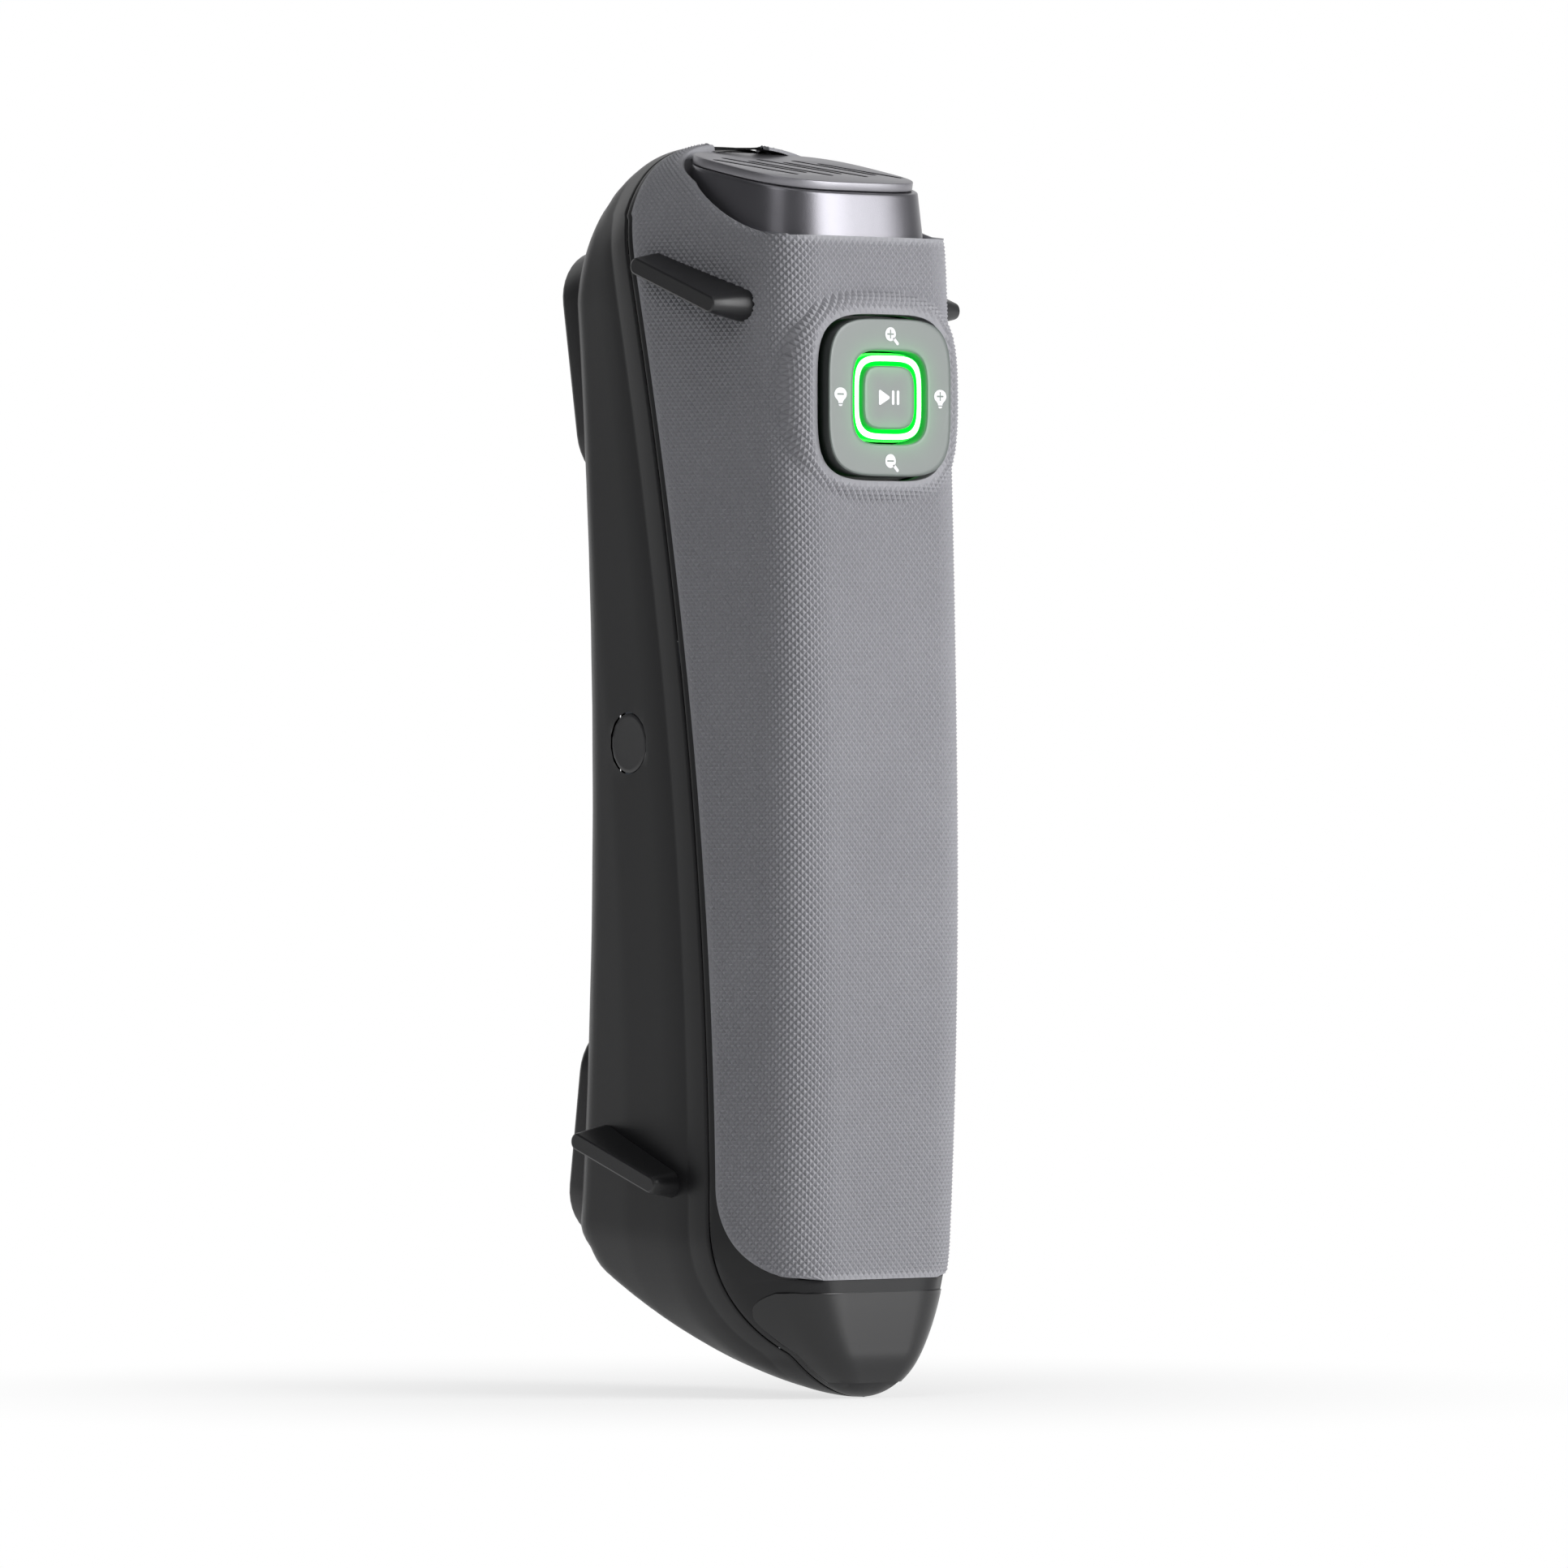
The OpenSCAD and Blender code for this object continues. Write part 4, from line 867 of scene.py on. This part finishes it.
def makeGrip():
    bm = bmesh.new()
    heights, rimRow = gripRowHeights()
    levels = [Level(min(z, high), form["gripProud"]) for z in heights]
    pitch = grip["pitchAcross"]
    edges, rims = [], []
    for z, level in zip(heights, levels):
        edges.append(level.length - level.shareAt(gripEdgeY(z)))
        rims.append(0.0 if z <= heights[rimRow] + 1e-6 else level.length - rimShare(level, z))
    startRim = levels[rimRow].length - levels[rimRow].shareAt(form["rimBack"])
    columns = int(max(edges) / pitch) + 2
    lift = np.zeros((len(heights), columns))
    points = np.zeros((len(heights), columns, 3))
    for r, level in enumerate(levels):
        away = np.clip(np.arange(columns) * pitch, rims[r], edges[r])
        row = level.at(level.length - away)
        for k in range(columns):
            row[k, 1] = moundLift(row[k, 0], row[k, 2], row[k, 1])
        points[r] = row
        inner = away - rims[r] if r > rimRow else np.full(columns, 9.0)
        margin = np.minimum(edges[r] - away, inner)
        margin = np.minimum(margin, r * grip["pitchUp"])
        if r <= rimRow:
            nearRim = (rimRow - r) * grip["pitchUp"]
            margin = np.where(away < startRim, np.minimum(margin, nearRim), margin)
        well = np.array([abs(wellDistance(Vector(p))) for p in row])
        margin = np.minimum(margin, well - 0.5)
        raised = (np.arange(columns) + r) % 2
        lift[r] = raised * smooth(margin / grip["fade"]) * grip["tall"]
    tag = bm.verts.layers.float.new("lift")
    for side in (points, mirrored(points)):
        verts = [[bm.verts.new(p) for p in row] for row in side]
        for r, row in enumerate(verts):
            for c, v in enumerate(row):
                v[tag] = lift[r, c]
        for r in range(len(heights) - 1):
            for c in range(columns - 1):
                if r == rimRow and (c + 1) * pitch <= startRim:
                    continue
                a, b, d, e = verts[r][c], verts[r][c + 1], verts[r + 1][c + 1], verts[r + 1][c]
                low = ((r + c) % 2 == 0)      # the two low corners carry the fold
                for tri in (((a, b, d), (a, d, e)) if low else ((a, b, e), (b, d, e))):
                    if len({tuple(round(q, 4) for q in v.co) for v in tri}) == 3:
                        bm.faces.new(tri)
    bmesh.ops.remove_doubles(bm, verts=bm.verts, dist=2e-3)
    bmesh.ops.dissolve_degenerate(bm, edges=bm.edges, dist=1e-4)
    bmesh.ops.recalc_face_normals(bm, faces=bm.faces)
    centre = Vector((0, 0, 150))
    outward = sum((f.normal.dot(f.calc_center_median() - centre) for f in bm.faces[:200]))
    cutOut(bm, wellDistance, 0.45)
    bm.normal_update()
    for v in bm.verts:
        if v[tag] > 0:
            v.co += v.normal * v[tag]
    padRim = openBoundary(bm, lambda p: abs(wellDistance(p)) < 1.5)
    if padRim:
        rounded = turnIn(bm, padRim, lambda p, v: p + Vector((-p.x, 0, pad["z"] - p.z)).normalized() * 0.1
                         + Vector((0, -0.35, 0)))
        turnIn(bm, rounded, lambda p, v: p + Vector((0, -4.0, 0)))
    topRim = openBoundary(bm, isRim)
    if topRim:
        rolled = turnIn(bm, topRim, lambda p, v: towardCap(p, 0.35, -0.02))
        rolled = turnIn(bm, rolled, lambda p, v: towardCap(p, 0.35, -0.35))
        rolled = turnIn(bm, rolled, lambda p, v: ontoCollar(p, 0.9, -2.6))
        turnIn(bm, rolled, lambda p, v: p + Vector((0, 0, -6)))
    outer = openBoundary(bm, lambda p: not isRim(p) and abs(wellDistance(p)) > 6 and p.z < high + 1)
    outer = [e for e in outer if e.link_faces[0].calc_area() > 0]
    turnIn(bm, outer, lambda p, v: sinkIn(p))
    return finishPiece(bm, "grip_cover", "grip_elastomer", stands=("grip_skin",), sharp=0, weld=1e-3)


def isRim(p):
    if p.z < high - form["rimDrop"] - 0.3:
        return False
    return p.y - shift > seamY(p.z) + form["lip"] + 1.2


def towardCap(p, inward, down):
    way = Vector((-p.x, cap["y"] - p.y, 0))
    way.normalize()
    return p + way * inward + Vector((0, 0, down))


def ontoCollar(p, gap, down):
    z = p.z + down
    a = cap["halfWide"] + capGrow(z) + gap
    b = cap["halfDeep"] + capGrow(z) + gap
    x, y = p.x, p.y - cap["y"]
    f = (abs(x / a) ** cap["power"] + abs(y / b) ** cap["power"]) ** (1 / cap["power"])
    f = max(f, 1e-6)
    if f < 1:
        return Vector((p.x, p.y, z))
    return Vector((x / f, y / f + cap["y"], z))


def sinkIn(p):
    # moves an edge point towards the middle of the body
    way = Vector((-p.x, 0, 0)) if p.z > form["gripBottom"] + 6 else Vector((-p.x * 0.4, 10 - p.y, 0))
    if p.z > high - 6:
        way = Vector((0, 0, -1))
    if way.length < 1e-6:
        way = Vector((0, -1, 0))
    return p + way.normalized() * grip["edge"]


# ---- cap ----
print("stage: cap")


def slopeZ(y, lift):
    # height of the sloping top plane at a depth
    return high - cap["drop"] - (y - cap["y"]) * math.tan(cap["tilt"]) + lift


def makeCollar():
    bm = bmesh.new()
    rings = []
    bottom = high - 27
    shares = [0, 0.25, 0.5, 0.75, 0.95]
    for share in shares:
        rings.append(collarRing(bottom, share, 0, 0))
    for inset, drop in ((0.02, -0.30), (0.12, -0.12), (0.32, 0.0), (1.5, 0.0), (1.8, -0.2)):
        rings.append(collarRing(bottom, 1.0, inset, drop))
    for share in shares[::-1]:
        rings.append(collarRing(bottom, share, 1.8, 0))
    addGrid(bm, np.array(rings), closed=True)
    return finishPiece(bm, "cap_ring", "cap_metal", stands=("cap_collar",), sharp=40)


def collarRing(bottom, share, inset, drop):
    ring = []
    for x, y in squircle(1, 1, cap["power"], 144):
        z = bottom + 10
        for step in range(4):
            grow = capGrow(z) - inset
            yy = cap["y"] + y * (cap["halfDeep"] + grow)
            z = bottom + (slopeZ(yy, -cap["plate"] - 0.16) + drop - bottom) * share
        ring.append((x * (cap["halfWide"] + grow), yy, z))
    return ring


def outlineMesh(outlines, thickness, edge):
    # a flat plate with holes from closed outlines, its edges rounded by a bevel
    curve = bpy.data.curves.new("outline", "CURVE")
    curve.dimensions = "2D"
    curve.fill_mode = "BOTH"
    curve.extrude = thickness / 2 - edge
    curve.bevel_depth = edge
    curve.bevel_resolution = 2
    for outline in outlines:
        spline = curve.splines.new("POLY")
        spline.points.add(len(outline) - 1)
        for point, (x, y) in zip(spline.points, outline):
            point.co = (x, y, 0, 1)
        spline.use_cyclic_u = True
    holder = bpy.data.objects.new("outline", curve)
    bpy.context.scene.collection.objects.link(holder)
    mesh = bpy.data.meshes.new_from_object(holder.evaluated_get(bpy.context.evaluated_depsgraph_get()))
    bpy.data.objects.remove(holder)
    return mesh


def stadium(length, radius, turnBy=0.0, steps=10):
    # an oblong with round ends, along y, turned by an angle
    points = []
    for k, s in enumerate((1, -1)):
        for i in range(steps + 1):
            a = math.pi * (k + i / steps)
            points.append((radius * math.cos(a), s * length / 2 + radius * math.sin(a)))
    c, s = math.cos(turnBy), math.sin(turnBy)
    return [(x * c - y * s, x * s + y * c) for x, y in points]


def makeVentPlate():
    edge = 0.3
    outlines = [squircle(cap["halfWide"] - edge, cap["halfDeep"] - edge, cap["power"], 160)]
    for i in range(7):
        cx, cy = (i - 3) * 5, 1.5 if i % 2 == 0 else -1.5
        slot = [(x + cx, y + cy) for x, y in stadium(18, 0.8 + edge, math.radians(28))]
        outlines.append(slot[::-1])
    mesh = outlineMesh(outlines, cap["plate"], edge)
    bm = bmesh.new()
    bm.from_mesh(mesh)
    bm.normal_update()
    # slot walls inside the outline take the near-black painted shade
    for f in bm.faces:
        p = f.calc_center_median()
        inner = squircleDistance(p.x, p.y, cap["halfWide"] - edge, cap["halfDeep"] - edge, cap["power"]) < -1
        f.material_index = 1 if inner and abs(f.normal.z) < 0.8 else 0
    place = Matrix.Translation((0, cap["y"], high - cap["drop"])) @ Matrix.Rotation(-cap["tilt"], 4, "X")
    bmesh.ops.transform(bm, matrix=place @ Matrix.Translation((0, 0, -cap["plate"] / 2)), verts=bm.verts)
    piece = finishPiece(bm, "vent_cover", "cap_metal", stands=("vent_plate",), sharp=40, extra=(slotShadeFinish,))
    # the top plate takes the lighter copy of the cap's finish: painted light
    piece.data.materials[0] = litPlateFinish
    return piece


# ---- feet ----
print("stage: feet")
foot = {
    "out": corners("upper_foot_left")[1][0] if corners("upper_foot_left")[1][0] > 0 else corners("upper_foot_right")[1][0],
    "length": 29,
    "faceHalf": 1.8,
    "baseHalf": 4.4,
    "slope": math.radians(20),
    "upper": (8.7, high - 31.5),
    "lower": (-10.9, 50),
}


def makeFoot(side, where):
    name = "left" if side < 0 else "right"
    rise = foot["out"] - form["halfWidth"] + 9
    half = foot["length"] / 2 - foot["faceHalf"]
    y, z = foot[where]
    place = Matrix.Translation((0, y + shift, z)) @ Matrix.Rotation(-foot["slope"], 4, "X")
    rings = []
    for share, trim in ((0, 0), (0.25, 0), (0.5, 0), (0.75, 0), (0.955, 0), (0.985, 0.06), (1.0, 0.38)):
        radius = foot["baseHalf"] + (foot["faceHalf"] - foot["baseHalf"]) * share - trim
        x = foot["out"] - rise + rise * share
        ring = [list(place @ Vector((x, b, a))) for a, b in stadium(2 * half, radius, steps=14)]
        rings.append(ring)
    centre = [list(place @ Vector((foot["out"], b, 0))) for a, b in stadium(2 * half, 0.02, steps=14)]
    rings.append(centre)
    bm = bmesh.new()
    points = np.array(rings)
    points[..., 0] *= side
    addGrid(bm, points, closed=True)
    return finishPiece(bm, f"{where}_foot_cover_{name}", "foot_plastic", stands=(f"{where}_foot_{name}",), sharp=24,
                       weld=0.03)


# ---- plugs and label ----
print("stage: plugs and label")


def flankPoint(y, z):
    # a point on the front cover's flank, with the flare of the band taken in
    row = frontRow(z)
    k = np.argsort(row[:, 1])
    return float(np.interp(y, row[k, 1], row[k, 0]))


def makePlug(side):
    name = "left" if side < 0 else "right"
    bm = bmesh.new()
    rings = []
    for radius, deep in ((6.5, 1.8), (6.5, 0.32), (6.42, 0.16), (6.25, 0.09), (5.6, 0.1), (3.0, 0.1), (0.01, 0.1)):
        ring = []
        for i in range(72):
            a = 2 * math.pi * i / 72
            y, z = plug["y"] + shift + radius * math.cos(a), plug["z"] + radius * math.sin(a)
            ring.append((side * (flankPoint(y, z) - deep), y, z))
        rings.append(ring)
    addGrid(bm, np.array(rings), closed=True)
    return finishPiece(bm, f"side_cover_{name}", "plug_plastic", stands=(f"side_plug_{name}",), sharp=40, weld=0.02)


label = {"low": 3.3, "top": 22.6, "proud": 0.14, "edge": 0.3}


def labelStart(z):
    # side view of the plate's end: a round end inside the lip
    t = (z - label["low"]) / (label["top"] - label["low"])
    ends = 22.0 + 6.5 * abs(2 * t - 1) ** 5
    return max(ends, seamY(z) + form["lip"])


def makeLabel():
    bm = bmesh.new()
    rows = []
    for z in np.linspace(label["low"], label["top"], 26):
        level = Level(z, label["proud"])
        start = level.shareAt(labelStart(z))
        rows.append(level.at(start + (level.length - start) * np.linspace(0, 1, 40)))
    rows = np.array(rows)
    for side in (rows, mirrored(rows)):
        addGrid(bm, side)
    bmesh.ops.remove_doubles(bm, verts=bm.verts, dist=1e-3)
    bmesh.ops.recalc_face_normals(bm, faces=bm.faces)
    bm.normal_update()
    outer = openBoundary(bm, lambda p: True)
    outer = turnIn(bm, outer, lambda p, v: p + labelOut(p) * 0.12 - labelNormal(p) * 0.06)
    turnIn(bm, outer, lambda p, v: p - labelNormal(p) * 0.4)
    return finishPiece(bm, "label_cover", "label_bare", stands=("label_plate",), sharp=25)


def labelNormal(p):
    way = Vector((p.x * 0.5, p.y - 10 - shift, 0))
    return way.normalized()


def labelOut(p):
    middleZ = (label["low"] + label["top"]) / 2
    return Vector((p.x * 0.1, 0, p.z - middleZ)).normalized()


# ---- controls ----
print("stage: controls")
ringLow, ringHigh = corners("light_ring")
controls = {
    "ringHalfWidth": ringHigh[0],
    "ringHalfHeight": (ringHigh[2] - ringLow[2]) / 2,
    "ringWall": 1.5,
    "ringTop": ringHigh[1],
    "holeGap": 0.9,
    "face": padHigh[1],
    "back": padHigh[1] - 5.5,
    "keyFace": corners("centre_key")[1][1],
    "keyHalfWidth": ringHigh[0] - 1.5 - 0.8,
    "keyHalfHeight": (ringHigh[2] - ringLow[2]) / 2 - 1.5 - 0.8,
    "glowReach": 1.8,
}


def blockRings(profile, steps=120):
    # rings of rounded-square outline: half width, half height and depth for each
    rings = []
    for a, b, y in profile:
        rings.append([(px, y, pad["z"] + pz) for px, pz in squircle(a, b, 4.0, steps)])
    return np.array(rings)


def paintRingGlow(bm, strength):
    # painted glow: an emission strength that falls off with distance from the ring stands in for the ring's light on
    # the plastic
    tag = bm.verts.layers.float.new("paintedRingGlow")
    a = controls["ringHalfWidth"] - controls["ringWall"] / 2
    b = controls["ringHalfHeight"] - controls["ringWall"] / 2
    for v in bm.verts:
        d = abs(squircleDistance(v.co.x, v.co.z - pad["z"], a, b))
        v[tag] = strength * math.exp(-max(0.0, d - 0.9) / controls["glowReach"])


def makePad():
    a, b = pad["halfWidth"], pad["halfHeight"]
    ha = controls["ringHalfWidth"] + controls["holeGap"]
    hb = controls["ringHalfHeight"] + controls["holeGap"]
    r, face, back = pad["round"], controls["face"], controls["back"]
    profile = [(a, b, back), (a, b, face - r)]
    for i in range(1, 5):
        t = math.radians(90 * i / 4)
        profile.append((a - r * (1 - math.cos(t)), b - r * (1 - math.cos(t)), face - r * (1 - math.sin(t))))
    for i in range(1, 12):
        t = i / 12
        profile.append((a - r + (ha + 0.3 - a + r) * t, b - r + (hb + 0.3 - b + r) * t, face))
    profile += [(ha + 0.3, hb + 0.3, face), (ha + 0.1, hb + 0.1, face - 0.08), (ha, hb, face - 0.3),
                (ha, hb, back), (a, b, back)]
    bm = bmesh.new()
    # the rows below the rounded edge take the darker copy: painted shade on the side wall
    addGrid(bm, blockRings(profile), closed=True, index=lambda r, c: 1 if r < 3 else 0)
    # painted glow from the ring on the pad's face and walls
    paintRingGlow(bm, 0.42)
    return finishPiece(bm, "pad_cover", "pad_plastic", rides="pad", stands=("rocker_pad",), sharp=50,
                       extra=(padWallShade,))


def makeKey():
    a, b, face = controls["keyHalfWidth"], controls["keyHalfHeight"], controls["keyFace"]
    r = 0.5
    profile = [(0.02, 0.02, face - 8), (a, b, face - 8), (a, b, face - r)]
    for i in range(1, 5):
        t = math.radians(90 * i / 4)
        profile.append((a - r * (1 - math.cos(t)), b - r * (1 - math.cos(t)), face - r * (1 - math.sin(t))))
    for i in range(1, 9):
        t = 1 - i / 9
        profile.append(((a - r) * t + 0.02, (b - r) * t + 0.02, face))
    profile.append((0.02, 0.02, face))
    bm = bmesh.new()
    addGrid(bm, blockRings(profile), closed=True)
    # painted glow from the ring on the key
    paintRingGlow(bm, 0.5)
    return finishPiece(bm, "key_cover", "pad_plastic", rides="key", stands=("centre_key",), sharp=50, weld=0.05)


def makeRing():
    a, b, w = controls["ringHalfWidth"], controls["ringHalfHeight"], controls["ringWall"]
    top, low = controls["ringTop"], ringLow[1]
    insets = [(0, low), (0, top - 1.8), (-0.4, top - 1.75), (-0.4, top - 1.6), (0, top - 1.55), (0, top - 0.2),
              (0.04, top - 0.05), (0.1, top), (0.18, top), (w - 0.18, top), (w - 0.1, top), (w - 0.04, top - 0.05),
              (w, top - 0.2), (w, low), (0, low)]
    bm = bmesh.new()
    addGrid(bm, blockRings([(a - i, b - i, y) for i, y in insets]), closed=True,
            index=lambda r, c: 1 if r == 8 else 0)
    return finishPiece(bm, "ring_cover", "ring_light", stands=("light_ring",), sharp=40, extra=(coreFinish,))


# ---- signs ----
print("stage: signs")
sign = {"high": 0.05, "stroke": 0.34, "out": 14.3, "up": 13.6}


def circle(x, y, radius, steps=40, squash=1.0):
    return [(x + radius * math.cos(2 * math.pi * i / steps), y + squash * radius * math.sin(2 * math.pi * i / steps))
            for i in range(steps)]


def barCut(x, y, plus, reach=0.95):
    # outline of a minus, or of a plus, to cut out of a disc
    s = sign["stroke"] / 2
    if not plus:
        return [(x - reach, y - s), (x - reach, y + s), (x + reach, y + s), (x + reach, y - s)]
    arms = [(s, reach), (s, s), (reach, s), (reach, -s), (s, -s), (s, -reach)]
    return [(x + px, y + py) for px, py in arms] + [(x - px, y - py) for px, py in arms]


def capsule(x0, y0, x1, y1, radius):
    length = math.hypot(x1 - x0, y1 - y0)
    turnBy = math.atan2(y1 - y0, x1 - x0) - math.pi / 2
    return [(x + (x0 + x1) / 2, y + (y0 + y1) / 2) for x, y in stadium(length, radius, turnBy, 6)]


def magnifier(plus):
    return [[circle(0, 0, 1.5), barCut(0, 0, plus)], [capsule(1.1, -1.1, 2.0, -2.0, 0.36)]]


def bulb(plus):
    glass = []
    for i in range(33):
        a = math.radians(-52 + 284 * i / 32)
        glass.append((1.75 * math.cos(a), 0.5 + 1.43 * math.sin(a)))
    glass += [(-0.68, -1.1), (-0.62, -1.45), (0.62, -1.45), (0.68, -1.1)]
    base = [(-0.58, -1.68), (-0.34, -2.05), (0.34, -2.05), (0.58, -1.68)]
    return [[glass, barCut(0, 0.5, plus)], [base]]


def playPause():
    tip, steps, r = [], 6, 0.35
    for cx, cy, start in ((-2.75, -1.28, 180), (-0.35, 0, -60), (-2.75, 1.28, 60)):
        for i in range(steps + 1):
            a = math.radians(start + 120 * i / steps)
            tip.append((cx + r * math.cos(a), cy + r * math.sin(a)))
    return [[tip], [capsule(1.0, -1.2, 1.0, 1.2, 0.38)], [capsule(2.4, -1.2, 2.4, 1.2, 0.38)]]


def makeSign(name, shapes, x, z, face, rides):
    # printed sign: a thin layer of ink on the face, read from behind the object
    bm = bmesh.new()
    for outlines in shapes:
        bm.from_mesh(outlineMesh([outlines[0]] + [o[::-1] for o in outlines[1:]], sign["high"], 0.0))
    turned = Matrix(((-1, 0, 0, x), (0, 0, 1, face + sign["high"] / 2 + 0.01), (0, 1, 0, z + pad["z"]), (0, 0, 0, 1)))
    bmesh.ops.transform(bm, matrix=turned, verts=bm.verts)
    piece = finishPiece(bm, name, "pad_plastic", rides=rides, sharp=30)
    piece.data.materials[0] = inkFinish
    return piece


# ---- put it together ----
frontCover = makeFrontShell()
makeBackShell()
makeGrip()
makeCollar()
makeVentPlate()
for side in (-1, 1):
    for where in ("upper", "lower"):
        makeFoot(side, where)
    makePlug(side)
makeLabel()
makePad()
makeKey()
makeRing()
makeSign("sign_zoom_in", magnifier(True), 0, sign["up"], controls["face"], "pad")
makeSign("sign_zoom_out", magnifier(False), 0, -sign["up"], controls["face"], "pad")
makeSign("sign_lamp_less", bulb(False), sign["out"], 0, controls["face"], "pad")
makeSign("sign_lamp_more", bulb(True), -sign["out"], 0, controls["face"], "pad")
makeSign("sign_play_pause", playPause(), 0, 0, controls["keyFace"], "key")

# ---- the CAD pieces that stay take better finishes ----
print("stage: inner pieces")
innerSlots = {
    "shell_seal": "black_rubber",
    "side_inserts": "brass",
    "pod_window": "dark_window",
    "centre_window": "dark_window",
    "led_board": "white_board",
    "lens_barrel": "lens_metal",
    "lens_glass": "lens_glass",
    "sensor_board": "green_board",
    "camera_bracket": "bench_metal",
    "laser_block": "bench_metal",
    "laser_module": "brass",
    "colour_camera": "lens_metal",
    "optical_bench": "bench_metal",
    "bench_screws": "steel",
    "case_screws": "steel",
    "board_posts": "brass",
    "main_board": "green_board",
    "board_screws": "steel",
    "main_chips": "chip_black",
    "heat_sink": "bench_metal",
    "ribbon_cable": "ribbon",
    "key_board": "green_board",
    "key_screws": "steel",
    "dome_mat": "black_rubber",
    "keypad_tray": "fan_plastic",
    "rocker_gimbal": "white_nylon",
    "air_duct": "fan_plastic",
    "fan_frame": "fan_plastic",
    "fan_rotor": "fan_plastic",
    "connector_socket": "socket_metal",
    "connector_pins": "gold_pins",
}
for node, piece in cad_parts.items():
    for start, slotName in innerSlots.items():
        if node.startswith(start):
            piece.data.materials.clear()
            piece.data.materials.append(finishes[slotName])
